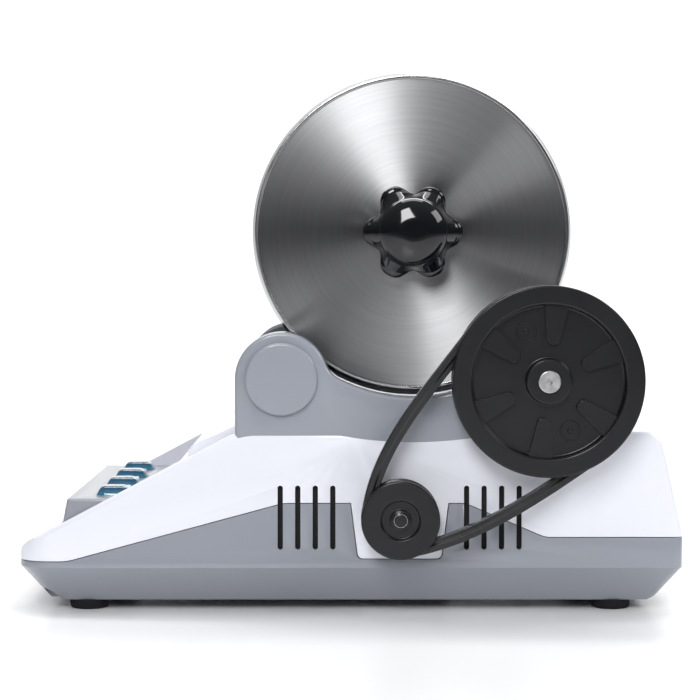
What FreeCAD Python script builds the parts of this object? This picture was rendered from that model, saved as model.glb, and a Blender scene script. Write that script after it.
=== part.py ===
import FreeCAD, Part
import math
import os

# Bench rotary tumbler: a stainless drum on two rollers, one of them driven by a belt.
# X runs from the control panel to the rear, Y from the belt side to the far side, Z up.
# The origin is on the floor, in the middle of the whole machine's box. Millimetres.

# Driving dimensions of the body
body_length = 301.0
body_width = 170.0
wall = 2.5
deck_z = 83.0
nose_z = 30.0
nose_radius = 9.0
slope_length = 100.5
slope_blend_radius = 30.0
rear_lean = 11.0
rear_top_radius = 9.0
side_edge_radius = 2.5
front_corner_radius = 14.0
rear_corner_radius = 5.0

# Driving dimensions of the seam between the base tray and the upper housing
seam_nose_z = 23.5
seam_mid_z = 50.0
seam_rear_z = 34.6
seam_rise_start = 22.5
seam_rise_end = 120.5
seam_fall_start = 98.5
seam_fall_end = 62.5
seam_blend_radius = 22.0
seam_gap = 0.4

# Driving dimensions of the base tray and feet
foot_height = 4.5
foot_radius = 9.0
foot_inset_x = 30.5
foot_inset_y = 20.0
foot_chamfer = 0.8
tray_floor = 3.0
tray_chamfer_in = 12.0
tray_ledge_z = 20.7
case_screw_inset_x = 14.5
case_screw_inset_y = 17.0

# Driving dimensions of the vents
vent_width = 2.4
vent_bottom_z = 29.0
vent_top_z = 58.0
vent_pitch = 7.9
vent_count = 4
vent_offset_from_motor = 42.0

# Driving dimensions of the control panel
rail_width = 6.0
panel_setback = 19.1
panel_length = 54.4
panel_floor_z = 36.0
panel_top_z = 51.5
panel_wall = 2.5
panel_front_lean = 3.0
panel_edge_radius = 1.2
deck_step_lean = 4.4
deck_step_z = 75.2
deck_slope_share = 0.85
button_count = 4
button_pitch = 39.0
button_setback = 22.4
button_length = 16.0
button_width = 14.0
button_height = 4.0
button_corner_radius = 4.0
button_travel = 1.5
display_setback = 35.4
display_length = 15.0
display_width = 132.0
display_thickness = 1.5
display_corner_radius = 2.0
display_ledge = 2.0

# Driving dimensions of the drum and its clamp
drum_setback = 122.1
drum_radius = 68.5
drum_wall = 1.5
drum_length = 118.0
drum_end_radius = 6.0
lid_wall = 1.5
lid_gap = 0.5
lid_skirt = 12.0
lid_edge_radius = 1.2
skirt_gap = 2.0
flange_reach = 2.7
gasket_thickness = 3.0
gasket_width = 4.5
stud_radius = 4.0
bar_width = 14.0
bar_thickness = 5.0
lug_depth = 5.0
lug_reach = 12.0
knob_tip_radius = 22.5
knob_valley_radius = 17.5
knob_lobe_radius = 7.0
knob_edge_radius = 1.5
knob_lobe_count = 6
knob_depth = 26.0
washer_thickness = 2.0

# Driving dimensions of the rollers, their bearings and the cradle
roller_axis_z = 106.0
roller_spacing = 118.6
roller_radius = 20.0
roller_core_radius = 15.0
roller_length = 98.0
sleeve_edge_radius = 1.0
shaft_radius = 5.0
cheek_thickness = 18.0
ear_radius = 21.0
saddle_gap = 0.8
saddle_blend_radius = 12.0
cradle_edge_radius = 1.5
cradle_wall = 3.0
trough_floor_z = 75.0
deck_dip_depth = 5.4
deck_dip_half_width = 44.4
bearing_radius = 13.0
bearing_width = 8.0
bearing_setback = 5.0
bearing_inner_radius = 7.5
bearing_outer_race_radius = 10.5
ball_radius = 1.3
ball_count = 8
cap_radius = 16.4
cap_height = 2.5
cap_edge_radius = 1.0
clip_thickness = 1.0
clip_radius = 8.5

# Driving dimensions of the belt drive and the motor
motor_offset = 6.0
motor_z = 44.5
motor_radius = 24.0
motor_length = 72.0
motor_wall = 2.0
motor_bell = 8.0
motor_setback = 22.0
motor_shaft_radius = 3.0
pulley_gap = 5.0
pulley_width = 16.0
pulley_radius = 42.5
pulley_rim = 8.5
pulley_hub_radius = 10.0
pulley_web = 6.0
pulley_recess = 5.0
spoke_count = 6
spoke_angle = 18.0
spoke_phase = 24.0
spoke_rise = 2.5
motor_pulley_radius = 17.5
motor_pulley_width = 14.0
belt_width = 8.0
belt_inner_width = 5.0
belt_thickness = 5.0
belt_sink = 0.5
tongue_top_width = 44.8
tongue_bottom_width = 37.4
tongue_bottom_z = 25.0
tongue_corner_radius = 2.5
shaft_proud = 2.0

# Driving dimensions of the power inlet
inlet_width = 27.0
inlet_height = 20.0
inlet_flange = 3.0
inlet_depth = 22.0
inlet_z = 56.0
inlet_offset_y = 44.0
inlet_corner_radius = 2.5

# Clearances
moving_gap = 0.3
fit_gap = 0.05
seat_gap = 0.1

# Places that follow from the driving dimensions
front_reach = pulley_gap + pulley_width + shaft_proud
near_y = front_reach - (front_reach + body_width + cap_height) / 2
far_y = near_y + body_width
mid_y = (near_y + far_y) / 2
front_x = -body_length / 2
rear_x = body_length / 2
rear_top_x = rear_x - rear_lean
slope_end_x = front_x + slope_length
panel_front_x = front_x + panel_setback
panel_back_x = panel_front_x + panel_length
button_x = panel_front_x + button_setback
display_front_x = panel_front_x + display_setback
display_back_x = display_front_x + display_length
drum_axis_x = rear_x - drum_setback
motor_x = drum_axis_x - motor_offset
lid_radius = drum_radius + flange_reach + lid_gap + lid_wall
saddle_radius = lid_radius + saddle_gap
pulley_rim_inner_radius = pulley_radius - pulley_rim
idler_x = drum_axis_x - roller_spacing / 2
drive_x = drum_axis_x + roller_spacing / 2
roller_reach = drum_radius + roller_radius + moving_gap
drum_axis_z = roller_axis_z + math.sqrt(roller_reach ** 2 - (roller_spacing / 2) ** 2)
roller_y0 = mid_y - roller_length / 2
roller_y1 = mid_y + roller_length / 2
lid_y = roller_y0 - skirt_gap - lid_skirt
belt_y = near_y - pulley_gap - pulley_width / 2
slope_rise = (deck_z - nose_z) / (slope_end_x - front_x)
rail_inner_near = near_y + rail_width
rail_inner_far = far_y - rail_width


# Helpers
def vec(x, y, z):
    return FreeCAD.Vector(x, y, z)


def outline(points, place):
    """Closed wire through (u, v, radius) corners, each rounded by its radius."""
    corners = []
    for i, (u, v, radius) in enumerate(points):
        corner = vec(u, v, 0)
        before = vec(*points[i - 1][:2], 0) - corner
        after = vec(*points[(i + 1) % len(points)][:2], 0) - corner
        before.normalize()
        after.normalize()
        if radius == 0:
            corners.append((corner, None, corner))
            continue
        half = math.acos(max(-1.0, min(1.0, before.dot(after)))) / 2
        reach = radius / math.tan(half)
        bisector = before + after
        bisector.normalize()
        middle = corner + bisector * (radius / math.sin(half) - radius)
        corners.append((corner + before * reach, middle, corner + after * reach))
    edges = []
    for i, (start, middle, end) in enumerate(corners):
        if middle is not None:
            arc = Part.Arc(place(start), place(middle), place(end))
            edges.append(arc.toShape())
        following = corners[(i + 1) % len(corners)][0]
        if end.distanceToPoint(following) > 1e-6:
            edges.append(Part.LineSegment(place(end), place(following)).toShape())
    return Part.Wire(edges)


def side_face(points, y):
    """Face in the XZ plane at y, from (x, z, radius) corners."""
    return Part.Face(outline(points, lambda p: vec(p.x, y, p.y)))


def side_prism(points, y0, y1):
    return side_face(points, y0).extrude(vec(0, y1 - y0, 0))


def plan_wire(x0, x1, y0, y1, front_radius, rear_radius, z):
    points = [
        (x0, y0, front_radius),
        (x1, y0, rear_radius),
        (x1, y1, rear_radius),
        (x0, y1, front_radius),
    ]
    return outline(points, lambda p: vec(p.x, p.y, z))


def plan_prism(x0, x1, y0, y1, front_radius, rear_radius, z0, z1):
    face = Part.Face(plan_wire(x0, x1, y0, y1, front_radius, rear_radius, z0))
    return face.extrude(vec(0, 0, z1 - z0))


def box(x0, x1, y0, y1, z0, z1):
    return Part.makeBox(x1 - x0, y1 - y0, z1 - z0, vec(x0, y0, z0))


def disc(x, z, radius, y0, y1):
    """Cylinder along Y."""
    return Part.makeCylinder(radius, y1 - y0, vec(x, y0, z), vec(0, 1, 0))


def ring(x, z, outer, inner, y0, y1):
    return disc(x, z, outer, y0, y1).cut(disc(x, z, inner, y0, y1))


def post(x, y, radius, z0, z1):
    """Cylinder along Z."""
    return Part.makeCylinder(radius, z1 - z0, vec(x, y, z0))


def turned(profile, x, z):
    """Solid of revolution about the Y axis through (x, z), from (radius, y) corners."""
    points = [vec(x + r, y, z) for r, y in profile]
    face = Part.Face(Part.makePolygon(points + points[:1]))
    return face.revolve(vec(x, 0, z), vec(0, 1, 0), 360)


def fused(shapes):
    shapes = list(shapes)
    return shapes[0].fuse(shapes[1:]) if len(shapes) > 1 else shapes[0]


def rounded(shape, radius, wanted):
    """Shape with a radius on every edge whose middle point passes the test."""
    edges = [edge for edge in shape.Edges if wanted(edge.CenterOfMass)]
    return shape.makeFillet(radius, edges)


def screw_up(x, y, seat_z, shank_radius, head_radius, head_height, tip_z):
    """Pan head screw driven upwards, its head under seat_z, with a hexagon socket."""
    head = post(x, y, head_radius, seat_z - head_height, seat_z)
    head = rounded(head, head_height * 0.3, lambda c: c.z < seat_z - head_height + 0.01)
    shank = post(x, y, shank_radius, seat_z - 0.5, tip_z)
    socket_radius = head_radius * 0.5
    socket = Part.Face(Part.makePolygon([
        vec(x + socket_radius * math.cos(math.radians(60 * k)),
            y + socket_radius * math.sin(math.radians(60 * k)),
            seat_z - head_height - 0.1)
        for k in range(7)
    ])).extrude(vec(0, 0, head_height * 0.6))
    return head.fuse(shank).cut(socket)


def save(name, shape):
    if shape.ShapeType != "Compound" or len(shape.Solids) == 1:
        shape = shape.Solids[0]
    shape.exportStep("parts/" + name + ".step")


os.makedirs("parts", exist_ok=True)

# Body blank: the outer shape that the tray, the housing and the cradle share
body_profile = [
    (front_x, 0, 0),
    (front_x, nose_z, nose_radius),
    (slope_end_x, deck_z, slope_blend_radius),
    (rear_top_x, deck_z, rear_top_radius),
    (rear_x, seam_rear_z, 0),
    (rear_x, 0, 0),
]
body_blank = side_prism(body_profile, near_y, far_y)
body_blank = rounded(
    body_blank,
    side_edge_radius,
    lambda c: abs(abs(c.y - mid_y) - body_width / 2) < 0.01 and c.z > nose_z - nose_radius,
)
body_plan = plan_prism(
    front_x, rear_x, near_y, far_y, front_corner_radius, rear_corner_radius, 0, deck_z + 20
)
body_blank = body_blank.common(body_plan)
dip_radius = (deck_dip_half_width ** 2 + deck_dip_depth ** 2) / (2 * deck_dip_depth)
deck_dip = disc(drum_axis_x, deck_z - deck_dip_depth + dip_radius, dip_radius, near_y - 1, far_y + 1)
body_blank = body_blank.cut(deck_dip)

# Seam between tray and housing: low at the nose, high at the motor, middling at the rear
def below_seam(shift):
    points = [
        (front_x - 10, -10, 0),
        (front_x - 10, seam_nose_z + shift, 0),
        (front_x + seam_rise_start, seam_nose_z + shift, seam_blend_radius),
        (front_x + seam_rise_end, seam_mid_z + shift, seam_blend_radius),
        (rear_x - seam_fall_start, seam_mid_z + shift, seam_blend_radius * 0.5),
        (rear_x - seam_fall_end, seam_rear_z + shift, seam_blend_radius * 0.5),
        (rear_x + 10, seam_rear_z + shift, 0),
        (rear_x + 10, -10, 0),
    ]
    return side_prism(points, near_y - 10, far_y + 10)


def tongue(grow, y0, y1):
    half_top = tongue_top_width / 2 + grow
    half_bottom = tongue_bottom_width / 2 + grow
    points = [
        (motor_x - half_bottom, tongue_bottom_z - grow, tongue_corner_radius),
        (motor_x + half_bottom, tongue_bottom_z - grow, tongue_corner_radius),
        (motor_x + half_top, seam_mid_z + 4, 0),
        (motor_x - half_top, seam_mid_z + 4, 0),
    ]
    return side_prism(points, y0, y1)


# Vent slots beside the motor, through both side walls and across the seam
vent_first = motor_x + vent_offset_from_motor - (vent_count - 1) * vent_pitch / 2
vent_centres = [vent_first + k * vent_pitch for k in range(vent_count)]
vent_centres += [2 * motor_x - x for x in vent_centres]
vents = Part.makeCompound([
    side_prism([
        (x - vent_width / 2, vent_bottom_z, vent_width * 0.49),
        (x + vent_width / 2, vent_bottom_z, vent_width * 0.49),
        (x + vent_width / 2, vent_top_z, vent_width * 0.49),
        (x - vent_width / 2, vent_top_z, vent_width * 0.49),
    ], near_y - 5, far_y + 5)
    for x in vent_centres
])

# Screw places in the base
screw_end_room = 2.0
case_screw_places = [
    (x, y)
    for x in (front_x + case_screw_inset_x, rear_x - case_screw_inset_x)
    for y in (near_y + case_screw_inset_y, far_y - case_screw_inset_y)
]
foot_places = [
    (x, y)
    for x in (front_x + foot_inset_x, rear_x - foot_inset_x)
    for y in (near_y + foot_inset_y, far_y - foot_inset_y)
]
case_well_radius = 4.5
case_screw_radius = 2.0
case_head_radius = 3.8
case_head_height = 2.6
case_seat_z = foot_height + 10.0
case_boss_radius = case_well_radius + 2.0
case_boss_z = tray_ledge_z + 1.0
case_post_radius = 5.0
case_screw_grip = 16.0
foot_screw_radius = 2.0
foot_head_radius = 3.6
foot_head_height = 1.8
foot_seat_z = foot_height * 0.7
foot_boss_radius = 5.0
foot_boss_z = foot_height + tray_floor + 8.0

# Base tray: moulded grey tub with a tapered lower edge and an upper edge along the seam
tray_floor_z = foot_height + tray_floor


def tray_solid(inset, z_bottom, z_top):
    low = tray_chamfer_in + inset
    radii = (max(front_corner_radius - inset, 1.0), max(rear_corner_radius - inset, 1.0))
    low_wire = plan_wire(
        front_x + low, rear_x - low, near_y + low, far_y - low, *radii, z_bottom
    )
    ledge_wire = plan_wire(
        front_x + inset, rear_x - inset, near_y + inset, far_y - inset, *radii, tray_ledge_z
    )
    lower = Part.makeLoft([low_wire, ledge_wire], True, True)
    upper = Part.Face(ledge_wire).extrude(vec(0, 0, z_top - tray_ledge_z))
    return lower.fuse(upper)


tray = tray_solid(0, foot_height, deck_z).common(below_seam(-seam_gap / 2))
tray = tray.cut(tray_solid(wall, tray_floor_z, deck_z + 5))
tray = tray.fuse([post(x, y, case_boss_radius, foot_height, case_boss_z) for x, y in case_screw_places])
tray = tray.fuse([post(x, y, foot_boss_radius, foot_height, foot_boss_z) for x, y in foot_places])
tray = tray.common(tray_solid(0, foot_height, deck_z))
tray = tray.cut([post(x, y, case_well_radius, 0, case_seat_z) for x, y in case_screw_places])
tray = tray.cut([post(x, y, case_screw_radius + seat_gap, 0, deck_z) for x, y in case_screw_places])
tray = tray.cut([post(x, y, foot_screw_radius, 0, foot_boss_z - screw_end_room / 2) for x, y in foot_places])
tray = tray.cut(tongue(seam_gap, near_y - 1, near_y + wall + 2))
tray = tray.cut(vents)

# Rubber feet and the screws that hold them, recessed so that the rubber meets the bench
feet = []
for x, y in foot_places:
    foot = post(x, y, foot_radius, 0, foot_height)
    foot = foot.makeChamfer(foot_chamfer, [e for e in foot.Edges if e.CenterOfMass.z < 0.01])
    foot = foot.cut(post(x, y, foot_head_radius + seat_gap, -1, foot_seat_z))
    feet.append(foot.cut(post(x, y, foot_screw_radius + seat_gap, -1, foot_height + 1)))
save("rubber_feet", Part.makeCompound(feet))
save("foot_screws", Part.makeCompound([
    screw_up(x, y, foot_seat_z, foot_screw_radius - fit_gap, foot_head_radius, foot_head_height,
             foot_boss_z - screw_end_room)
    for x, y in foot_places
]))
save("case_screws", Part.makeCompound([
    screw_up(x, y, case_seat_z, case_screw_radius - fit_gap, case_head_radius, case_head_height,
             case_seat_z + case_screw_grip)
    for x, y in case_screw_places
]))

# Upper housing: white moulded shell with side rails, panel recess, raised deck and tongue
interior_face = side_face(body_profile, near_y + wall).makeOffset2D(-wall)
interior = interior_face.extrude(vec(0, body_width - 2 * wall, 0))
interior = interior.common(plan_prism(
    front_x + wall, rear_x - wall, near_y + wall, far_y - wall,
    front_corner_radius - wall, rear_corner_radius - wall, 0, deck_z + 20,
))
interior = interior.cut(disc(
    drum_axis_x, deck_z - deck_dip_depth + dip_radius, dip_radius + wall, near_y - 1, far_y + 1
))
interior = interior.cut(box(
    panel_front_x - wall, panel_back_x + deck_step_lean + wall, near_y, far_y,
    panel_floor_z - wall, deck_z + 20,
))
recess = box(
    panel_front_x, panel_back_x, rail_inner_near, rail_inner_far, panel_floor_z, deck_z + 20
)
cradle_front_x = idler_x - ear_radius
cradle_rear_x = drive_x + ear_radius
deck_end_x = cradle_front_x - seat_gap
deck_step_top_x = panel_back_x + deck_step_lean
deck_end_z = deck_step_z + (deck_end_x - deck_step_top_x) * slope_rise * deck_slope_share
deck_block = side_prism([
    (panel_back_x, panel_floor_z - wall, 0),
    (panel_back_x, panel_top_z + 2, 3.0),
    (deck_step_top_x, deck_step_z, 5.0),
    (deck_end_x, deck_end_z, 0),
    (deck_end_x, deck_z - 15, 0),
], rail_inner_near, rail_inner_far)
housing = body_blank.cut(recess).fuse(deck_block).cut(interior)
posts = fused(post(x, y, case_post_radius, case_boss_z + seat_gap, deck_z) for x, y in case_screw_places)
housing = housing.fuse(posts.common(body_blank.cut(recess)))
housing = housing.cut(below_seam(seam_gap / 2).cut(posts))
housing = housing.fuse(tongue(0, near_y, near_y + wall))
housing = housing.cut([
    post(x, y, case_screw_radius, 0, case_seat_z + case_screw_grip + screw_end_room / 2)
    for x, y in case_screw_places
])
tray = tray.cut(fused(
    post(x, y, case_post_radius + seat_gap, case_boss_z, deck_z) for x, y in case_screw_places
))
housing = housing.cut(vents)
housing = housing.cut(disc(motor_x, motor_z, motor_shaft_radius + 2.5, near_y - 1, near_y + wall + 1))

# Cradle: grey casting with two bearing cheeks and a sunk trough between them
ear_to_drum = math.atan2(drum_axis_z - roller_axis_z, drum_axis_x - idler_x)
ear_side = ear_radius + saddle_blend_radius
saddle_side = saddle_radius - saddle_blend_radius
axis_distance = math.hypot(drum_axis_z - roller_axis_z, drum_axis_x - idler_x)
ear_angle = ear_to_drum - math.acos(
    (ear_side ** 2 + axis_distance ** 2 - saddle_side ** 2) / (2 * ear_side * axis_distance)
)
blend_x = idler_x + ear_side * math.cos(ear_angle)
blend_z = roller_axis_z + ear_side * math.sin(ear_angle)
saddle_angle = math.atan2(blend_z - drum_axis_z, blend_x - drum_axis_x) % (2 * math.pi)


def polar(x, z, radius, angle):
    return vec(x + radius * math.cos(angle), near_y, z + radius * math.sin(angle))


def mirrored(point):
    return vec(2 * drum_axis_x - point.x, point.y, point.z)


ear_start = polar(idler_x, roller_axis_z, ear_radius, math.pi)
ear_top = polar(idler_x, roller_axis_z, ear_radius, (math.pi + ear_angle) / 2)
ear_end = polar(idler_x, roller_axis_z, ear_radius, ear_angle)
saddle_start = polar(drum_axis_x, drum_axis_z, saddle_radius, saddle_angle)
blend_low = (ear_angle + math.pi + saddle_angle) / 2
blend_middle = polar(blend_x, blend_z, saddle_blend_radius, blend_low)
saddle_middle = polar(drum_axis_x, drum_axis_z, saddle_radius, -math.pi / 2)
cradle_base_z = deck_z - 20.0
foot_left = vec(cradle_front_x, near_y, cradle_base_z)
cradle_edges = [
    Part.LineSegment(foot_left, ear_start),
    Part.Arc(ear_start, ear_top, ear_end),
    Part.Arc(ear_end, blend_middle, saddle_start),
    Part.Arc(saddle_start, saddle_middle, mirrored(saddle_start)),
    Part.Arc(mirrored(saddle_start), mirrored(blend_middle), mirrored(ear_end)),
    Part.Arc(mirrored(ear_end), mirrored(ear_top), mirrored(ear_start)),
    Part.LineSegment(mirrored(ear_start), mirrored(foot_left)),
    Part.LineSegment(mirrored(foot_left), foot_left),
]
cradle_face = Part.Face(Part.Wire([edge.toShape() for edge in cradle_edges]))
cradle = cradle_face.extrude(vec(0, body_width, 0))
cradle = rounded(
    cradle,
    cradle_edge_radius,
    lambda c: abs(abs(c.y - mid_y) - body_width / 2) < 0.01 and c.z > cradle_base_z + 0.01,
)
tray_y0 = near_y + cheek_thickness - cradle_wall
tray_y1 = far_y - cheek_thickness + cradle_wall
trough = box(
    cradle_front_x + cradle_wall, cradle_rear_x - cradle_wall,
    near_y + cheek_thickness, far_y - cheek_thickness,
    trough_floor_z, drum_axis_z,
)
sump = box(
    cradle_front_x, cradle_rear_x, tray_y0, tray_y1, trough_floor_z - cradle_wall, deck_z
)
roller_room = roller_radius + 1.0
trough_wall_z = roller_axis_z - 1.0 - math.sqrt(roller_room ** 2 - (ear_radius - cradle_wall) ** 2)
roller_gap = box(
    cradle_front_x - 1, cradle_rear_x + 1, near_y + cheek_thickness, far_y - cheek_thickness,
    trough_wall_z, drum_axis_z,
)
cradle = cradle.cut(body_blank).fuse(sump).cut(trough).cut(roller_gap)
cradle = cradle.common(box(
    cradle_front_x, cradle_rear_x, near_y, far_y, trough_floor_z - cradle_wall, drum_axis_z
))
housing = housing.cut(box(
    cradle_front_x - seat_gap, cradle_rear_x + seat_gap, tray_y0 - seat_gap, tray_y1 + seat_gap,
    trough_floor_z - cradle_wall - seat_gap, drum_axis_z,
))
bore_depth = bearing_setback + bearing_width
for x in (idler_x, drive_x):
    for y0, y1 in ((near_y - 1, near_y + bore_depth), (far_y - bore_depth, far_y + 1)):
        cradle = cradle.cut(disc(x, roller_axis_z, bearing_radius, y0, y1))
    cradle = cradle.cut(disc(x, roller_axis_z, bearing_inner_radius - 0.5, near_y - 1, far_y + 1))

# Cradle screws: driven up from inside the housing into the cheeks
cradle_screw_radius = 2.0
cradle_head_radius = 3.6
cradle_head_height = 2.4
cradle_screw_places = [
    (x, y)
    for x in (idler_x, drive_x)
    for y in (near_y + cheek_thickness / 2, far_y - cheek_thickness / 2)
]
cradle_screw_tip_z = roller_axis_z - bearing_radius - screw_end_room
cradle = cradle.cut([
    post(x, y, cradle_screw_radius, deck_z - wall, cradle_screw_tip_z + 0.5)
    for x, y in cradle_screw_places
])
housing = housing.cut([
    post(x, y, cradle_screw_radius + seat_gap, deck_z - 2 * wall, deck_z + 1)
    for x, y in cradle_screw_places
])
save("cradle_screws", Part.makeCompound([
    screw_up(x, y, deck_z - wall, cradle_screw_radius - fit_gap, cradle_head_radius,
             cradle_head_height, cradle_screw_tip_z)
    for x, y in cradle_screw_places
]))

# Control panel: grey hooded block screwed into the recess between the rails
panel_y0 = rail_inner_near + seat_gap
panel_y1 = rail_inner_far - seat_gap
panel_x0 = panel_front_x + seat_gap
panel_x1 = panel_back_x - seat_gap
panel_under_z = panel_top_z - panel_wall
panel = side_prism([
    (panel_x0, panel_floor_z, 0),
    (panel_x0 + panel_front_lean, panel_top_z, panel_edge_radius),
    (panel_x1, panel_top_z, 0),
    (panel_x1, panel_floor_z, 0),
], panel_y0, panel_y1)
panel = rounded(
    panel,
    panel_edge_radius,
    lambda c: (c.y < panel_y0 + 0.01 or c.y > panel_y1 - 0.01) and c.z > panel_floor_z + 0.01
    and c.x < panel_x1 - 0.01,
)
panel = panel.cut(box(
    panel_x0 + panel_front_lean + panel_wall, panel_x1 - panel_wall,
    panel_y0 + panel_wall, panel_y1 - panel_wall, panel_floor_z - 1, panel_under_z,
))
panel_post_radius = 3.5
panel_screw_radius = 1.5
panel_head_radius = 2.8
panel_head_height = 1.8
panel_post_inset = panel_wall + panel_post_radius - 0.5
panel_screw_places = [
    (x, y)
    for x in (panel_x0 + panel_front_lean + panel_post_inset, panel_x1 - panel_post_inset)
    for y in (panel_y0 + panel_post_inset, panel_y1 - panel_post_inset)
]
panel = panel.fuse([
    post(x, y, panel_post_radius, panel_floor_z, panel_under_z + 0.5) for x, y in panel_screw_places
])
panel = panel.cut([
    post(x, y, panel_screw_radius, panel_floor_z - 1, panel_under_z - screw_end_room)
    for x, y in panel_screw_places
])
housing = housing.cut([
    post(x, y, panel_screw_radius + seat_gap, panel_floor_z - wall - 1, panel_floor_z + 1)
    for x, y in panel_screw_places
])
save("panel_screws", Part.makeCompound([
    screw_up(x, y, panel_floor_z - wall, panel_screw_radius - fit_gap, panel_head_radius,
             panel_head_height, panel_under_z - screw_end_room - 1)
    for x, y in panel_screw_places
]))

# Control board under the panel, hung from four bosses
board_thickness = 1.6
board_top_z = panel_floor_z + 5.6
board_x0 = panel_x0 + panel_front_lean + panel_wall + 2
board_x1 = panel_x1 - panel_wall - 2
board_half = (button_count - 1) * button_pitch / 2 + 9.0
board_boss_radius = 3.0
board_screw_radius = 1.2
board_head_radius = 2.2
board_head_height = 1.3
board_boss_places = [
    (x, mid_y + side * button_pitch)
    for x in (board_x0 + 4, board_x1 - 4)
    for side in (-1, 1)
]
panel = panel.fuse([
    post(x, y, board_boss_radius, board_top_z, panel_under_z + 0.5) for x, y in board_boss_places
])
panel = panel.cut([
    post(x, y, board_screw_radius, board_top_z - 1, panel_under_z - screw_end_room)
    for x, y in board_boss_places
])
control_board = box(
    board_x0, board_x1, mid_y - board_half, mid_y + board_half, board_top_z - board_thickness, board_top_z
)
control_board = control_board.cut([
    post(x, y, board_screw_radius + seat_gap, board_top_z - 5, board_top_z + 1)
    for x, y in board_boss_places
])
save("control_board", control_board)
board_screws = [
    screw_up(x, y, board_top_z - board_thickness, board_screw_radius - fit_gap, board_head_radius,
             board_head_height, panel_under_z - screw_end_room - 1)
    for x, y in board_boss_places
]

# Buttons: translucent caps that slide in the panel and press the key switches
switch_half = 3.0
switch_height = 3.5
plunger_radius = 1.5
plunger_height = 0.8
flange_rim = 1.2
flange_thickness = 1.0
dome_radius = 24.0
plunger_top_z = board_top_z + switch_height + plunger_height
flange_top_z = panel_under_z - seat_gap
stem_bottom_z = plunger_top_z + button_travel + 2 * seat_gap
button_top_z = panel_top_z + button_height


def button_plan(grow, y, z0, z1):
    radius = button_corner_radius + grow
    half_length = button_length / 2 + grow
    half_width = button_width / 2 + grow
    return plan_prism(
        button_x - half_length, button_x + half_length, y - half_width, y + half_width,
        radius, radius, z0, z1,
    )


switches = []
for k in range(button_count):
    y = mid_y + (k - (button_count - 1) / 2) * button_pitch
    panel = panel.cut(button_plan(moving_gap, y, panel_under_z - 1, panel_top_z + 1))
    cap = button_plan(0, y, flange_top_z - flange_thickness, button_top_z)
    crown = Part.makeSphere(dome_radius, vec(button_x, y, button_top_z - dome_radius))
    cap = cap.common(crown)
    cap = rounded(cap, 1.2, lambda c: c.z > panel_top_z + 0.5 * button_height)
    flange = button_plan(flange_rim, y, flange_top_z - flange_thickness, flange_top_z)
    stem = post(button_x, y, plunger_radius + 0.5, stem_bottom_z, flange_top_z)
    save("button_%d" % (k + 1), fused([cap, flange, stem]))
    switch = box(
        button_x - switch_half, button_x + switch_half, y - switch_half, y + switch_half,
        board_top_z, board_top_z + switch_height,
    )
    switches.append(switch.fuse(post(button_x, y, plunger_radius, board_top_z, plunger_top_z)))
save("key_switches", Part.makeCompound(switches))

# Display: smoked window let into the panel top, with a digit module on the board below it
display_y0 = mid_y - display_width / 2
display_y1 = mid_y + display_width / 2
display_seat_z = panel_top_z - display_thickness
module_half = 24.0
module_gap = 0.5
panel = panel.cut(plan_prism(
    display_front_x, display_back_x, display_y0, display_y1,
    display_corner_radius, display_corner_radius, display_seat_z, panel_top_z + 1,
))
panel = panel.cut(box(
    display_front_x + display_ledge, display_back_x - display_ledge,
    mid_y - module_half - module_gap, mid_y + module_half + module_gap,
    panel_under_z - 1, display_seat_z + 1,
))
save("display_window", plan_prism(
    display_front_x + seat_gap, display_back_x - seat_gap, display_y0 + seat_gap, display_y1 - seat_gap,
    display_corner_radius, display_corner_radius, display_seat_z, panel_top_z,
))
save("display_module", box(
    display_front_x + display_ledge + module_gap, display_back_x - display_ledge - module_gap,
    mid_y - module_half, mid_y + module_half, board_top_z, display_seat_z - moving_gap,
))
save("control_panel", panel)

# Drum: deep drawn stainless cup with a flanged mouth
lid_inner_radius = lid_radius - lid_wall
gasket_y = lid_y + lid_wall + seat_gap
flange_y = gasket_y + gasket_thickness + seat_gap
drum_end_y = flange_y + drum_length
drum_bore = drum_radius - drum_wall


def drum_disc(radius, y0, y1):
    return disc(drum_axis_x, drum_axis_z, radius, y0, y1)


drum_outer = drum_disc(drum_radius, flange_y, drum_end_y)
drum_outer = rounded(drum_outer, drum_end_radius, lambda c: c.y > drum_end_y - 0.01)
drum_inner = drum_disc(drum_bore, flange_y - 1, drum_end_y - drum_wall)
drum_inner = rounded(
    drum_inner, drum_end_radius - drum_wall, lambda c: c.y > drum_end_y - drum_wall - 0.01
)
mouth_flange = drum_disc(drum_radius + flange_reach, flange_y, flange_y + drum_wall)
save("drum_shell", drum_outer.fuse(mouth_flange).cut(drum_inner))

# Lid with a skirt over the mouth flange, and the gasket between them
lid = drum_disc(lid_radius, lid_y, lid_y + lid_skirt)
lid = rounded(lid, lid_edge_radius, lambda c: c.y < lid_y + 0.01)
lid = lid.cut(drum_disc(lid_inner_radius, lid_y + lid_wall, lid_y + lid_skirt + 1))
lid = lid.cut(drum_disc(stud_radius + 0.2, lid_y - 1, lid_y + lid_wall + 1))
save("drum_lid", lid)
gasket_radius = lid_inner_radius - 2 * moving_gap
save("lid_gasket", ring(
    drum_axis_x, drum_axis_z, gasket_radius, gasket_radius - gasket_width,
    gasket_y, gasket_y + gasket_thickness,
))

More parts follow.
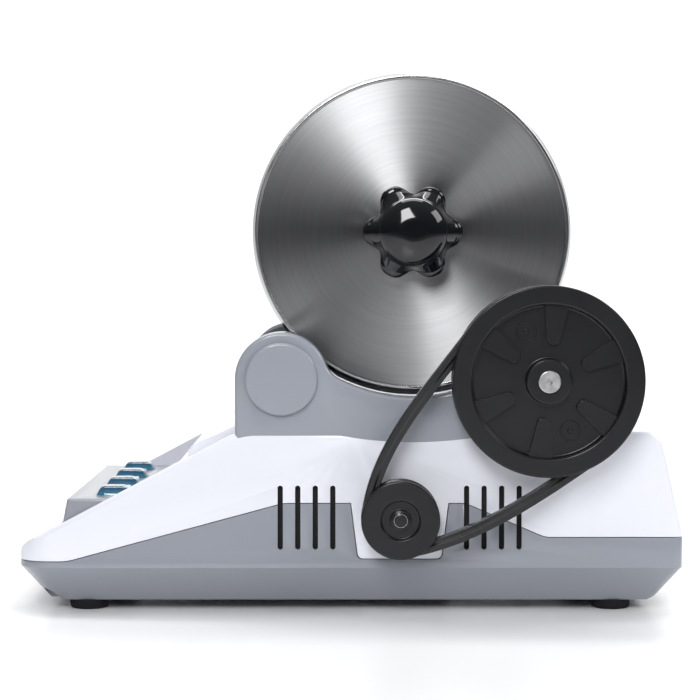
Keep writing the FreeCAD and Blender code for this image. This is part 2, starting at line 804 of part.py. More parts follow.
# Clamp: two lugs welded inside the mouth, a bar behind them and a stud through the lid
lug_setback = 10.0
lug_y = flange_y + lug_setback
bar_y = lug_y + lug_depth + seat_gap
lug_half_height = 9.0
lugs = []
for side in (-1, 1):
    reach = sorted((drum_axis_x + side * (drum_bore - lug_reach), drum_axis_x + side * drum_radius))
    block = box(
        *reach, lug_y, lug_y + lug_depth, drum_axis_z - lug_half_height, drum_axis_z + lug_half_height
    )
    lugs.append(block.common(drum_disc(drum_bore, lug_y - 1, lug_y + lug_depth + 1)))
save("clamp_lugs", Part.makeCompound(lugs))
bar_end_gap = 4.0
bar_half = drum_bore - bar_end_gap
clamp_bar = box(
    drum_axis_x - bar_half, drum_axis_x + bar_half, bar_y, bar_y + bar_thickness,
    drum_axis_z - bar_width / 2, drum_axis_z + bar_width / 2,
)
save("clamp_bar", clamp_bar.cut(drum_disc(stud_radius, bar_y - 1, bar_y + bar_thickness + 1)))
stud_reach = 18.0
stud_end_y = lid_y - stud_reach
save("clamp_stud", drum_disc(stud_radius, stud_end_y, bar_y + bar_thickness))

# Star knob with its threaded insert, and the washer that it bears on
washer_y = lid_y - washer_thickness
washer_radius = 11.0
save("knob_washer", ring(
    drum_axis_x, drum_axis_z, washer_radius, stud_radius + 0.2, washer_y, lid_y
))
knob_back_y = washer_y - seat_gap
knob_hub_height = 4.0
knob_front_y = knob_back_y - knob_depth
knob_dome_radius = knob_tip_radius + 3.5
insert_radius = 6.5
lobe_step = 2 * math.pi / knob_lobe_count
lobe_place = knob_tip_radius - knob_lobe_radius
half_step = math.cos(lobe_step / 2)
valley_round = (
    lobe_place ** 2 + knob_valley_radius ** 2 - knob_lobe_radius ** 2
    - 2 * lobe_place * knob_valley_radius * half_step
) / (2 * (knob_lobe_radius - knob_valley_radius + lobe_place * half_step))


def on_knob(radius, angle):
    return vec(
        drum_axis_x + radius * math.cos(angle), knob_front_y, drum_axis_z + radius * math.sin(angle)
    )


def lobe_side(lobe_angle, side):
    """Point where a lobe's arc meets the hollow beside it."""
    lobe = on_knob(lobe_place, lobe_angle)
    hollow = on_knob(knob_valley_radius + valley_round, lobe_angle + side * lobe_step / 2)
    return lobe + (hollow - lobe) * (knob_lobe_radius / (knob_lobe_radius + valley_round))


star_edges = []
for k in range(knob_lobe_count):
    angle = k * lobe_step
    star_edges.append(Part.Arc(
        lobe_side(angle, -1), on_knob(knob_tip_radius, angle), lobe_side(angle, 1)
    ).toShape())
    star_edges.append(Part.Arc(
        lobe_side(angle, 1), on_knob(knob_valley_radius, angle + lobe_step / 2),
        lobe_side(angle + lobe_step, -1)
    ).toShape())
star = Part.Face(Part.Wire(star_edges)).extrude(vec(0, knob_depth - knob_hub_height, 0))
dome = Part.makeSphere(
    knob_dome_radius, vec(drum_axis_x, knob_front_y + knob_dome_radius, drum_axis_z), vec(0, 1, 0)
)
star = star.common(dome)
tip_drop = knob_dome_radius - math.sqrt(knob_dome_radius ** 2 - knob_tip_radius ** 2)
star = rounded(star, knob_edge_radius, lambda c: c.y < knob_front_y + tip_drop)
knob_hub = drum_disc(washer_radius + 1.5, knob_back_y - knob_hub_height - 1, knob_back_y)
knob = star.fuse(knob_hub)
knob = knob.cut(drum_disc(insert_radius, stud_end_y, knob_back_y + 1))
knob = knob.cut(drum_disc(stud_radius + moving_gap, stud_end_y - 1, stud_end_y + 1))
save("star_knob", knob)
save("knob_insert", ring(
    drum_axis_x, drum_axis_z, insert_radius, stud_radius + fit_gap, stud_end_y, knob_back_y
))

# Rollers: steel shaft, plastic core and rubber sleeve, on two ball bearings each
shaft_end_inset = 1.5
idler_y0 = near_y + shaft_end_inset
drive_y0 = near_y - front_reach
shaft_y1 = far_y - shaft_end_inset
near_bearing_y = near_y + bearing_setback
far_bearing_y = far_y - bearing_setback - bearing_width
clip_gap = 0.6
clip_y = (near_y + cheek_thickness + clip_gap, far_y - cheek_thickness - clip_gap - clip_thickness)
outer_races = []
balls = []
ball_pitch_radius = bearing_outer_race_radius - ball_radius - fit_gap
for name, x, shaft_y0 in (("idler", idler_x, idler_y0), ("drive", drive_x, drive_y0)):
    shaft = disc(x, roller_axis_z, shaft_radius, shaft_y0, shaft_y1)
    shaft = shaft.makeChamfer(0.6, [e for e in shaft.Edges if len(e.Vertexes) == 1])
    if name == "drive":
        dimple = Part.makeCone(1.6, 0.0, 1.6, vec(x, shaft_y0, roller_axis_z), vec(0, 1, 0))
        shaft = shaft.cut(dimple)
    save(name + "_shaft", shaft)
    save(name + "_roller_core", ring(
        x, roller_axis_z, roller_core_radius, shaft_radius, roller_y0, roller_y1
    ))
    sleeve = ring(x, roller_axis_z, roller_radius, roller_core_radius, roller_y0, roller_y1)
    sleeve_rims = [
        e for e in sleeve.Edges if len(e.Vertexes) == 1 and e.Curve.Radius > roller_core_radius + 0.1
    ]
    save(name + "_roller_sleeve", sleeve.makeFillet(sleeve_edge_radius, sleeve_rims))
    save(name + "_shaft_clips", Part.makeCompound([
        ring(x, roller_axis_z, clip_radius, shaft_radius, y, y + clip_thickness) for y in clip_y
    ]))
    inner_races = []
    for y in (near_bearing_y, far_bearing_y):
        inner_races.append(ring(
            x, roller_axis_z, bearing_inner_radius, shaft_radius, y, y + bearing_width
        ))
        outer_races.append(ring(
            x, roller_axis_z, bearing_radius, bearing_outer_race_radius, y, y + bearing_width
        ))
        for k in range(ball_count):
            angle = 2 * math.pi * k / ball_count
            balls.append(Part.makeSphere(ball_radius, vec(
                x + ball_pitch_radius * math.cos(angle),
                y + bearing_width / 2,
                roller_axis_z + ball_pitch_radius * math.sin(angle),
            )))
    save(name + "_inner_races", Part.makeCompound(inner_races))
save("bearing_outer_races", Part.makeCompound(outer_races))
save("bearing_balls", Part.makeCompound(balls))

# Bearing caps: pressed into the bores; the one behind the driven pulley is an open retainer
spigot_wall = 2.5
spigot_radius = bearing_radius - fit_gap


def bearing_cap(x, face_y, outward, open_radius):
    def span(a, b):
        return sorted((face_y + outward * a, face_y + outward * b))

    plate = disc(x, roller_axis_z, cap_radius, *span(0, cap_height))
    plate = rounded(
        plate, cap_edge_radius, lambda c: abs(c.y - face_y - outward * cap_height) < 0.01
    )
    spigot = ring(
        x, roller_axis_z, spigot_radius, spigot_radius - spigot_wall,
        *span(seat_gap - bearing_setback, 0.5),
    )
    cap = plate.fuse(spigot)
    if open_radius > 0:
        cap = cap.cut(disc(x, roller_axis_z, open_radius, *span(-1, cap_height + 1)))
    return cap


save("bearing_caps", Part.makeCompound([
    bearing_cap(idler_x, near_y, -1, 0),
    bearing_cap(idler_x, far_y, 1, 0),
    bearing_cap(drive_x, far_y, 1, 0),
]))
save("drive_retainer", bearing_cap(drive_x, near_y, -1, shaft_radius + 2.0))

# Belt drive: V grooves, the driven pulley with six spokes, the motor pulley and the belt
belt_flank = (belt_width - belt_inner_width) / 2 / belt_thickness
belt_outer_radius = pulley_radius - belt_sink
motor_belt_outer_radius = motor_pulley_radius - belt_sink
groove_side_gap = moving_gap * math.hypot(1, belt_flank)


def groove(rim_radius, outer_radius):
    """Corners of a V groove round the belt, from the front of the rim to its back."""
    bottom = outer_radius - belt_thickness - 2 * moving_gap

    def half_width(radius):
        return belt_width / 2 - (outer_radius - radius) * belt_flank + groove_side_gap

    return [
        (rim_radius, belt_y - half_width(rim_radius)),
        (bottom, belt_y - half_width(bottom)),
        (bottom, belt_y + half_width(bottom)),
        (rim_radius, belt_y + half_width(rim_radius)),
    ]


pulley_front = belt_y - pulley_width / 2
pulley_back = belt_y + pulley_width / 2
web_front = pulley_front + pulley_recess
web_back = web_front + pulley_web
back_hub_radius = pulley_hub_radius + 3.0
driven_pulley = turned([
    (shaft_radius, pulley_front),
    (pulley_hub_radius, pulley_front),
    (pulley_hub_radius, web_front),
    (pulley_rim_inner_radius, web_front),
    (pulley_rim_inner_radius, pulley_front),
    (pulley_radius, pulley_front),
    *groove(pulley_radius, belt_outer_radius),
    (pulley_radius, pulley_back),
    (pulley_rim_inner_radius, pulley_back),
    (pulley_rim_inner_radius, web_back),
    (back_hub_radius, web_back),
    (back_hub_radius, pulley_back),
    (shaft_radius, pulley_back),
], drive_x, roller_axis_z)


def on_pulley(radius, degrees, y):
    angle = math.radians(degrees)
    return vec(
        drive_x + radius * math.cos(angle), y, roller_axis_z + radius * math.sin(angle)
    )


spoke_inner = pulley_hub_radius - 1.0
spoke_outer = pulley_rim_inner_radius + 1.0
for k in range(spoke_count):
    middle = spoke_phase + 360.0 * k / spoke_count
    corners = [
        on_pulley(radius, middle + side * spoke_angle / 2, web_front - spoke_rise)
        for radius, side in ((spoke_inner, -1), (spoke_outer, -1), (spoke_outer, 1), (spoke_inner, 1))
    ]
    spoke = Part.Face(Part.makePolygon(corners + corners[:1]))
    driven_pulley = driven_pulley.fuse(spoke.extrude(vec(0, spoke_rise + 0.5, 0)))
gate_mark_radius = 4.5
gate_mark_depth = 0.8
gate_mark_place = (pulley_hub_radius + pulley_rim_inner_radius) / 2 + 2.0
for degrees in (spoke_phase + 90, spoke_phase + 270):
    mark = Part.makeCylinder(
        gate_mark_radius, gate_mark_depth + 1,
        on_pulley(gate_mark_place, degrees, web_front - 1), vec(0, 1, 0),
    )
    driven_pulley = driven_pulley.cut(mark)
set_screw_radius = 2.0
set_screw_y = (web_back + pulley_back) / 2
set_hole = Part.makeCylinder(
    set_screw_radius, back_hub_radius,
    vec(drive_x + shaft_radius / 2, set_screw_y, roller_axis_z), vec(1, 0, 0),
)
driven_pulley = driven_pulley.cut(set_hole)
save("driven_pulley", driven_pulley)
set_screw = Part.makeCylinder(
    set_screw_radius - fit_gap, back_hub_radius - shaft_radius - 1.0,
    vec(drive_x + shaft_radius, set_screw_y, roller_axis_z), vec(1, 0, 0),
)
save("driven_pulley_set_screw", set_screw)

small_front = belt_y - motor_pulley_width / 2
small_back = belt_y + motor_pulley_width / 2
small_hub_radius = 4.5
small_recess_radius = 8.6
small_recess = 2.0
save("motor_pulley", turned([
    (motor_shaft_radius, small_front),
    (small_hub_radius, small_front),
    (small_hub_radius, small_front + small_recess),
    (small_recess_radius, small_front + small_recess),
    (small_recess_radius, small_front),
    (motor_pulley_radius, small_front),
    *groove(motor_pulley_radius, motor_belt_outer_radius),
    (motor_pulley_radius, small_back),
    (motor_shaft_radius, small_back),
], motor_x, motor_z))

drive_centre = vec(drive_x, belt_y, roller_axis_z)
motor_centre = vec(motor_x, belt_y, motor_z)
centre_line = drive_centre - motor_centre
line_angle = math.atan2(centre_line.z, centre_line.x)
wrap = math.asin((belt_outer_radius - motor_belt_outer_radius) / centre_line.Length)
upper_angle = line_angle + math.pi / 2 + wrap
lower_angle = line_angle - math.pi / 2 - wrap


def belt_section(centre, outer_radius, angle):
    """Trapezium across the belt where it leaves a pulley at this angle."""
    out = vec(math.cos(angle), 0, math.sin(angle))
    across = vec(0, 1, 0)
    inner_radius = outer_radius - belt_thickness
    corners = [
        centre + out * outer_radius - across * (belt_width / 2),
        centre + out * outer_radius + across * (belt_width / 2),
        centre + out * inner_radius + across * (belt_inner_width / 2),
        centre + out * inner_radius - across * (belt_inner_width / 2),
    ]
    return Part.Face(Part.makePolygon(corners + corners[:1]))


def belt_run(angle):
    """Straight run from the motor pulley to the driven pulley."""
    out = vec(math.cos(angle), 0, math.sin(angle))
    start = motor_centre + out * motor_belt_outer_radius
    end = drive_centre + out * belt_outer_radius
    return belt_section(motor_centre, motor_belt_outer_radius, angle).extrude(end - start)


turning = vec(0, -1, 0)
big_bend = belt_section(drive_centre, belt_outer_radius, lower_angle).revolve(
    drive_centre, turning, math.degrees(upper_angle - lower_angle)
)
small_bend = belt_section(motor_centre, motor_belt_outer_radius, upper_angle).revolve(
    motor_centre, turning, 360 - math.degrees(upper_angle - lower_angle)
)
save("drive_belt", fused([big_bend, belt_run(upper_angle), small_bend, belt_run(lower_angle)]))

# Motor: can, bells, bushes, stator, rotor, shaft and fan, carried by a bracket on the tray
motor_y0 = near_y + motor_setback
motor_y1 = motor_y0 + motor_length
motor_boss_radius = 9.0
motor_boss_height = 6.0
bush_radius = 5.0
bracket_thickness = 3.0
fan_gap = 2.0
fan_width = 8.0
fan_blade_count = 9
shaft_tip_y = small_front - 0.5


def motor_disc(radius, y0, y1):
    return disc(motor_x, motor_z, radius, y0, y1)


save("motor_can", ring(
    motor_x, motor_z, motor_radius, motor_radius - motor_wall,
    motor_y0 + motor_bell, motor_y1 - motor_bell,
))
motor_screw_reach = 15.0
motor_screw_radius = 2.0
motor_head_radius = 3.4
motor_head_height = 2.2
motor_screw_places = [(motor_x - motor_screw_reach, motor_z), (motor_x + motor_screw_reach, motor_z)]
front_bell = motor_disc(motor_radius, motor_y0, motor_y0 + motor_bell)
front_bell = front_bell.fuse(motor_disc(motor_boss_radius, motor_y0 - motor_boss_height, motor_y0))
front_bell = front_bell.cut(
    motor_disc(bush_radius, motor_y0 - motor_boss_height - 1, motor_y0 + motor_bell + 1)
)
front_bell = front_bell.cut([
    disc(x, z, motor_screw_radius, motor_y0 - 1, motor_y0 + motor_bell - 1.5)
    for x, z in motor_screw_places
])
save("motor_front_bell", front_bell)
rear_bell = motor_disc(motor_radius, motor_y1 - motor_bell, motor_y1)
save("motor_rear_bell", rear_bell.cut(
    motor_disc(bush_radius, motor_y1 - motor_bell - 1, motor_y1 + 1)
))
bush_bore = motor_shaft_radius + fit_gap
save("motor_bushes", Part.makeCompound([
    ring(motor_x, motor_z, bush_radius, bush_bore, motor_y0 - motor_boss_height, motor_y0 + motor_bell),
    ring(motor_x, motor_z, bush_radius, bush_bore, motor_y1 - motor_bell, motor_y1),
]))
winding_room = 8.0
rotor_radius = 14.0
rotor_gap = 0.5
stator_y0 = motor_y0 + motor_bell + winding_room
stator_y1 = motor_y1 - motor_bell - winding_room
save("motor_stator", ring(
    motor_x, motor_z, motor_radius - motor_wall, rotor_radius + rotor_gap, stator_y0, stator_y1
))
save("motor_rotor", ring(
    motor_x, motor_z, rotor_radius, motor_shaft_radius, stator_y0, stator_y1
))
fan_y0 = motor_y1 + fan_gap
fan_y1 = fan_y0 + fan_width
fan_hub_radius = 7.0
fan_radius = motor_radius - 2.0
blade_thickness = 1.5
fan = motor_disc(fan_hub_radius, fan_y0, fan_y1).fuse(motor_disc(fan_radius, fan_y0, fan_y0 + 1.5))
for k in range(fan_blade_count):
    blade = box(
        motor_x + fan_hub_radius - 1, motor_x + fan_radius, fan_y0, fan_y1,
        motor_z - blade_thickness / 2, motor_z + blade_thickness / 2,
    )
    blade.rotate(vec(motor_x, 0, motor_z), vec(0, 1, 0), 360.0 * k / fan_blade_count)
    fan = fan.fuse(blade)
fan = fan.cut(motor_disc(motor_shaft_radius, fan_y0 - 1, fan_y1 + 1))
save("motor_fan", fan)
save("motor_shaft", motor_disc(motor_shaft_radius, shaft_tip_y, fan_y1 + 2.0))

bracket_half = 27.0
bracket_y0 = motor_y0 - bracket_thickness
bracket_length = 46.0
bracket_rise = 18.0
bracket_y1 = motor_y0 + bracket_length
bracket_top_z = motor_z + bracket_rise
bracket = box(
    motor_x - bracket_half, motor_x + bracket_half, bracket_y0, motor_y0, tray_floor_z, bracket_top_z
)
bracket = bracket.fuse(box(
    motor_x - bracket_half, motor_x + bracket_half, bracket_y0, bracket_y1,
    tray_floor_z, tray_floor_z + bracket_thickness,
))
bracket = bracket.cut(motor_disc(motor_boss_radius + seat_gap, bracket_y0 - 1, motor_y0 + 1))
bracket = bracket.cut([
    disc(x, z, motor_screw_radius + seat_gap, bracket_y0 - 1, motor_y0 + 1)
    for x, z in motor_screw_places
])
bracket_screw_radius = 2.0
bracket_head_radius = 3.4
bracket_head_height = 1.8
bracket_screw_places = [
    (motor_x + side * (bracket_half - 7.0), y)
    for side in (-1, 1)
    for y in (motor_y0 + 12.0, bracket_y1 - 8.0)
]
bracket_holes = [
    post(x, y, bracket_screw_radius, 0, tray_floor_z + bracket_thickness + 1)
    for x, y in bracket_screw_places
]
save("motor_bracket", bracket.cut(bracket_holes))
tray = tray.cut(bracket_holes)
save("bracket_screws", Part.makeCompound([
    screw_up(x, y, foot_height, bracket_screw_radius - fit_gap, bracket_head_radius,
             bracket_head_height, tray_floor_z + bracket_thickness)
    for x, y in bracket_screw_places
]))
save("motor_screws", Part.makeCompound([
    disc(x, z, motor_head_radius, bracket_y0 - motor_head_height, bracket_y0).fuse(
        disc(x, z, motor_screw_radius - fit_gap, bracket_y0 - 0.5, motor_y0 + motor_bell - screw_end_room)
    )
    for x, z in motor_screw_places
]))

# Power board on the tray's standoffs, in front of the motor
power_front_gap = 42.0
power_motor_gap = 14.0
power_width = 80.0
power_hole_inset = 5.0
power_head_radius = 2.6
power_head_height = 1.6
power_x0 = front_x + power_front_gap
power_x1 = motor_x - bracket_half - power_motor_gap
power_y0 = mid_y - power_width / 2
power_y1 = mid_y + power_width / 2
standoff_height = 8.0
power_board_z = tray_floor_z + standoff_height
power_places = [
    (x, y)
    for x in (power_x0 + power_hole_inset, power_x1 - power_hole_inset)
    for y in (power_y0 + power_hole_inset, power_y1 - power_hole_inset)
]
standoff_radius = 3.5
standoff_bore = 1.5
standoff_holes = [
    post(x, y, standoff_bore, tray_floor_z + 1, power_board_z + 5) for x, y in power_places
]
tray = tray.fuse([
    post(x, y, standoff_radius, tray_floor_z - 0.5, power_board_z) for x, y in power_places
])
tray = tray.cut(standoff_holes)
power_board = box(
    power_x0, power_x1, power_y0, power_y1, power_board_z, power_board_z + board_thickness
)
save("power_board", power_board.cut(standoff_holes))
power_top_z = power_board_z + board_thickness
for x, y in power_places:
    head = post(x, y, power_head_radius, power_top_z, power_top_z + power_head_height)
    board_screws.append(head.fuse(
        post(x, y, standoff_bore - fit_gap, tray_floor_z + 2, power_top_z + 0.5)
    ))
save("board_screws", Part.makeCompound(board_screws))
transformer_size = (30.0, 16.0, 13.0)
capacitor_radius = 6.0
capacitor_height = 12.0
capacitor_pitch = 18.0
relay_size = (20.0, 10.0, 11.0)
middle_x = (power_x0 + power_x1) / 2


def board_block(size, y):
    """Block of (length, width, height) on the power board, across its middle line."""
    return box(
        middle_x - size[0] / 2, middle_x + size[0] / 2, y, y + size[1], power_top_z, power_top_z + size[2]
    )


save("power_parts", Part.makeCompound([
    board_block(transformer_size, power_y0 + 12.0),
    *[
        post(middle_x - 3.0 + side * capacitor_pitch / 2, mid_y, capacitor_radius,
             power_top_z, power_top_z + capacitor_height)
        for side in (-1, 1)
    ],
    board_block(relay_size, power_y1 - 24.0),
]))

# Power inlet let into the leaning rear wall
inlet_y = mid_y + inlet_offset_y
lean_angle = math.degrees(math.atan2(rear_lean, deck_z - seam_rear_z))
inlet_x = rear_x - rear_lean * (inlet_z - seam_rear_z) / (deck_z - seam_rear_z)


def on_rear_wall(shape):
    """Shape drawn with +X outwards from the wall, moved to the inlet's place."""
    shape = shape.copy()
    shape.rotate(vec(0, 0, 0), vec(0, 1, 0), -lean_angle)
    shape.translate(vec(inlet_x, inlet_y, inlet_z))
    return shape


def inlet_block(x0, x1, half_width, half_height):
    return box(x0, x1, -half_width, half_width, -half_height, half_height)


half_width = inlet_width / 2
half_height = inlet_height / 2
inlet_plate = 2.0
socket_depth = 15.0
socket_wall = 2.0
inlet = inlet_block(0, inlet_plate, half_width + inlet_flange, half_height + inlet_flange)
inlet = rounded(
    inlet, inlet_corner_radius,
    lambda c: abs(c.y) > half_width + 1 and abs(c.z) > half_height + 1,
)
inlet = inlet.fuse(inlet_block(-inlet_depth, 0.5, half_width, half_height))
inlet = inlet.cut(inlet_block(
    inlet_plate - socket_depth, inlet_plate + 1, half_width - socket_wall, half_height - socket_wall
))
pin_half = (2.0, 1.0)
pins = []
for pin_y, pin_z in ((-7.0, -2.0), (0.0, 2.0), (7.0, -2.0)):
    pin = box(
        -inlet_depth - 5, inlet_plate - 3.0,
        pin_y - pin_half[1], pin_y + pin_half[1], pin_z - pin_half[0], pin_z + pin_half[0],
    )
    pins.append(pin)
inlet = inlet.cut(pins)
housing = housing.cut(on_rear_wall(
    inlet_block(-wall - 4, inlet_plate, half_width + seat_gap, half_height + seat_gap)
))
save("power_inlet", on_rear_wall(inlet))
save("inlet_pins", Part.makeCompound([on_rear_wall(pin) for pin in pins]))

# The three main mouldings, once every piece has cut its place in them
save("base_tray", tray)
save("upper_housing", housing)
save("roller_cradle", cradle)
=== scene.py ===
import math

import bmesh
import bpy
from mathutils import Matrix, Vector


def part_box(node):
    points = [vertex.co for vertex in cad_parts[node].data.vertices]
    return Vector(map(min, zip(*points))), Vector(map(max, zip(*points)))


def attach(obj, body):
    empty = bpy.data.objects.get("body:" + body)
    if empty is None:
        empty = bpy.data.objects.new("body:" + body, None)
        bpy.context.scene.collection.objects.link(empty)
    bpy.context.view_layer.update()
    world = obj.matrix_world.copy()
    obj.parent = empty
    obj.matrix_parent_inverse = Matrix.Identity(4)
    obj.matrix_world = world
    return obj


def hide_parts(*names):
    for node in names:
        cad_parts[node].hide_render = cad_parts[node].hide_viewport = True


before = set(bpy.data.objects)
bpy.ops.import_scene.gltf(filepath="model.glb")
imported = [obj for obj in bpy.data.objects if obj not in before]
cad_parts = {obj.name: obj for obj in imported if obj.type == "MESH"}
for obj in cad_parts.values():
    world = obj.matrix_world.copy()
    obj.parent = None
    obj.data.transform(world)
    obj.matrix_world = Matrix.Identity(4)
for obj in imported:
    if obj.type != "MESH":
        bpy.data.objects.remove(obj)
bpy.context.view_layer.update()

# Base tray. The lower tub of the machine, moulded in grey plastic with a spark-eroded skin.
# Its rim follows a raked seam, and everything else is screwed to it.
MM = 0.001


def feed(node, values):
    """Sets inputs of a node: a socket is linked, anything else is a constant."""
    for name, value in values.items():
        if isinstance(value, bpy.types.NodeSocket):
            node.id_data.links.new(value, node.inputs[name])
        else:
            node.inputs[name].default_value = value
    return node


def add_node(tree, kind, values, **settings):
    """New node with its settings, and then its inputs."""
    node = tree.nodes.new(kind)
    for name, value in settings.items():
        setattr(node, name, value)
    return feed(node, values)


def own_place(tree):
    """Coordinates of the piece itself."""
    return tree.nodes.new("ShaderNodeTexCoord").outputs["Object"]


def noise(tree, vector, scale, detail):
    """Noise texture on a vector."""
    values = {"Vector": vector, "Scale": scale, "Detail": detail}
    return add_node(tree, "ShaderNodeTexNoise", values).outputs["Fac"]


def shader_group(name, inputs, outputs):
    """Empty shader node group with named floats: the group, what it is given and its result."""
    group = bpy.data.node_groups.new(name, "ShaderNodeTree")
    for label, value in inputs.items():
        socket = group.interface.new_socket(label, in_out="INPUT", socket_type="NodeSocketFloat")
        socket.default_value = value
    for label in outputs:
        group.interface.new_socket(label, in_out="OUTPUT", socket_type="NodeSocketFloat")
    return group, group.nodes.new("NodeGroupInput").outputs, group.nodes.new("NodeGroupOutput")


def moulded_skin_group():
    """Fine eroded grain, slow drift of tone and faint handling marks on moulded plastic."""
    scales = {"Grain Scale": 1400.0, "Drift Scale": 9.0, "Handling Scale": 45.0}
    details = {"Grain": 2.0, "Drift": 3.0, "Handling": 6.0}
    group, given, result = shader_group("Moulded skin", scales, details)
    place = own_place(group)
    for label, detail in details.items():
        feed(result, {label: noise(group, place, given[label + " Scale"], detail)})
    return group


moulded_skin = moulded_skin_group()


def new_material(name):
    """Material, its tree and the Principled BSDF that is wired to its output."""
    material = bpy.data.materials.new(name)
    material.use_nodes = True
    tree = material.node_tree
    return material, tree, tree.nodes["Principled BSDF"]


def spread(tree, value, low, high, start=0.3, end=0.7):
    """The middle stretch of a noise value, spread between two values."""
    values = {"Value": value, "From Min": start, "From Max": end, "To Min": low, "To Max": high}
    return add_node(tree, "ShaderNodeMapRange", values).outputs["Result"]


def two_tone(tree, factor, dark, light):
    """Colour that drifts between two tones."""
    values = {"Factor": factor, "A": (*dark, 1.0), "B": (*light, 1.0)}
    return add_node(tree, "ShaderNodeMix", values, data_type="RGBA").outputs["Result"]


def relief(tree, height, depth):
    """Normal of a surface whose bumps have a given depth in metres."""
    values = {"Height": height, "Distance": depth, "Strength": 1.0}
    return add_node(tree, "ShaderNodeBump", values).outputs["Normal"]


def moulded_plastic(name, tone, drift, rough, rub, grain, depth, coat=0.0, specular=0.5, metal=0.0):
    """Moulded, cast or painted skin: tone drifting by a share, rubbed roughness, grain with a depth."""
    material, tree, bsdf = new_material(name)
    skin = add_node(tree, "ShaderNodeGroup", {"Grain Scale": grain}, node_tree=moulded_skin).outputs
    dark = [c * (1.0 - drift) for c in tone]
    light = [min(1.0, c * (1.0 + drift)) for c in tone]
    feed(bsdf, {
        "Base Color": two_tone(tree, skin["Drift"], dark, light),
        "Roughness": spread(tree, skin["Handling"], rough - rub, rough + rub),
        "Normal": relief(tree, skin["Grain"], depth),
        "Coat Weight": coat,
        "Coat Roughness": 0.08,
        "Specular IOR Level": specular,
        "Metallic": metal,
    })
    return material


def linked(name, data):
    """New object in the scene."""
    thing = bpy.data.objects.new(name, data)
    bpy.context.collection.objects.link(thing)
    return thing


def baked(holder):
    """Plain mesh of what a holder's modifiers make; the holder goes."""
    depsgraph = bpy.context.evaluated_depsgraph_get()
    mesh = bpy.data.meshes.new_from_object(holder.evaluated_get(depsgraph))
    bpy.data.objects.remove(holder)
    return mesh


def mesh_of(work):
    """Mesh with the faces of a bmesh, which is freed."""
    mesh = bpy.data.meshes.new("mesh")
    work.to_mesh(mesh)
    work.free()
    return mesh


def add_piece(name, mesh, material, body, slot, *nodes):
    """Object for a finished mesh, riding on its body in place of the CAD nodes."""
    mesh.name = name
    mesh.materials.clear()
    mesh.materials.append(material)
    piece = linked(name, mesh)
    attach(piece, body)
    if nodes:
        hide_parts(*nodes)


def add_eased(name, node, width, segments, material, slot, slots=()):
    """Piece from a node's own solid: crisp edges eased, but only a little inside (x, x, z, z) ranges."""
    flat, crisp, little = math.radians(0.4), math.radians(28), 0.25
    work = bmesh.new()
    work.from_mesh(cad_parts[node].data)
    bmesh.ops.remove_doubles(work, verts=work.verts, dist=2e-6)
    bmesh.ops.dissolve_limit(work, angle_limit=flat, verts=work.verts, edges=work.edges)
    for face in work.faces:
        face.smooth = True
    weight = work.edges.layers.float.new("bevel_weight_edge")
    for edge in work.edges:
        if len(edge.link_faces) == 2 and edge.calc_face_angle() > crisp:
            edge[weight] = 1.0
            for x_low, x_high, z_low, z_high in slots:
                if all(x_low < v.co.x < x_high and z_low < v.co.z < z_high for v in edge.verts):
                    edge[weight] = little
    holder = linked(node + "_eased", mesh_of(work))
    bevel = holder.modifiers.new("ease", "BEVEL")
    bevel.limit_method = "WEIGHT"
    bevel.width = width
    bevel.segments = segments
    bevel.use_clamp_overlap = True
    bevel.harden_normals = True
    add_piece(name, baked(holder), material, "base", slot, node)


def round_place(node):
    """Axis x and z, lowest and highest y, and radius of a node that is round about Y."""
    low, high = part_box(node)
    return (low.x + high.x) / 2, (low.z + high.z) / 2, low.y, high.y, (high.x - low.x) / 2


grey_plastic = moulded_plastic(
    "Grey moulded plastic", (0.273, 0.290, 0.334), drift=0.04, rough=0.37, rub=0.04, grain=2200.0,
    depth=0.02 * MM, coat=0.7,
)
motor_x, motor_z = round_place("motor_can")[:2]
vent_reach, vent_half = 42.0 * MM, 14.2 * MM
vent_low, vent_high = 28.0 * MM, 59.0 * MM
vents = [
    (middle - vent_half, middle + vent_half, vent_low, vent_high)
    for middle in (motor_x - vent_reach, motor_x + vent_reach)
]
tub_edge = 0.6 * MM
add_eased("base_tub", "base_tray", tub_edge, 3, grey_plastic, "grey_plastic", vents)

# Rubber feet. Four turned pads of black rubber under the corners of the tub.
# Each has a rounded lower rim and a recess that hides the head of its screw.
def rounded_profile(points, steps=5):
    """Closed outline through (radius, y, round) corners as arcs, with guard points by the flats' ends."""
    shortest, margin, share = 0.5 * MM, 0.15 * MM, 0.2
    arcs = []
    for i, (r, y, radius) in enumerate(points):
        corner = Vector((r, y))
        if radius == 0:
            arcs.append([corner])
            continue
        before = (Vector(points[i - 1][:2]) - corner).normalized()
        after = (Vector(points[(i + 1) % len(points)][:2]) - corner).normalized()
        half = before.angle(after) / 2
        centre = corner + (before + after).normalized() * (radius / math.sin(half))
        start = corner + before * (radius / math.tan(half)) - centre
        end = corner + after * (radius / math.tan(half)) - centre
        turn = start.angle_signed(end)
        arcs.append([centre + Matrix.Rotation(-turn * k / steps, 2) @ start for k in range(steps + 1)])
    result = []
    for arc, following in zip(arcs, arcs[1:] + arcs[:1]):
        result += arc
        start, end = arc[-1], following[0]
        length = (end - start).length
        if length > shortest:
            guard = min(margin, share * length) / length
            result += [start.lerp(end, guard), start.lerp(end, 1 - guard)]
    return result


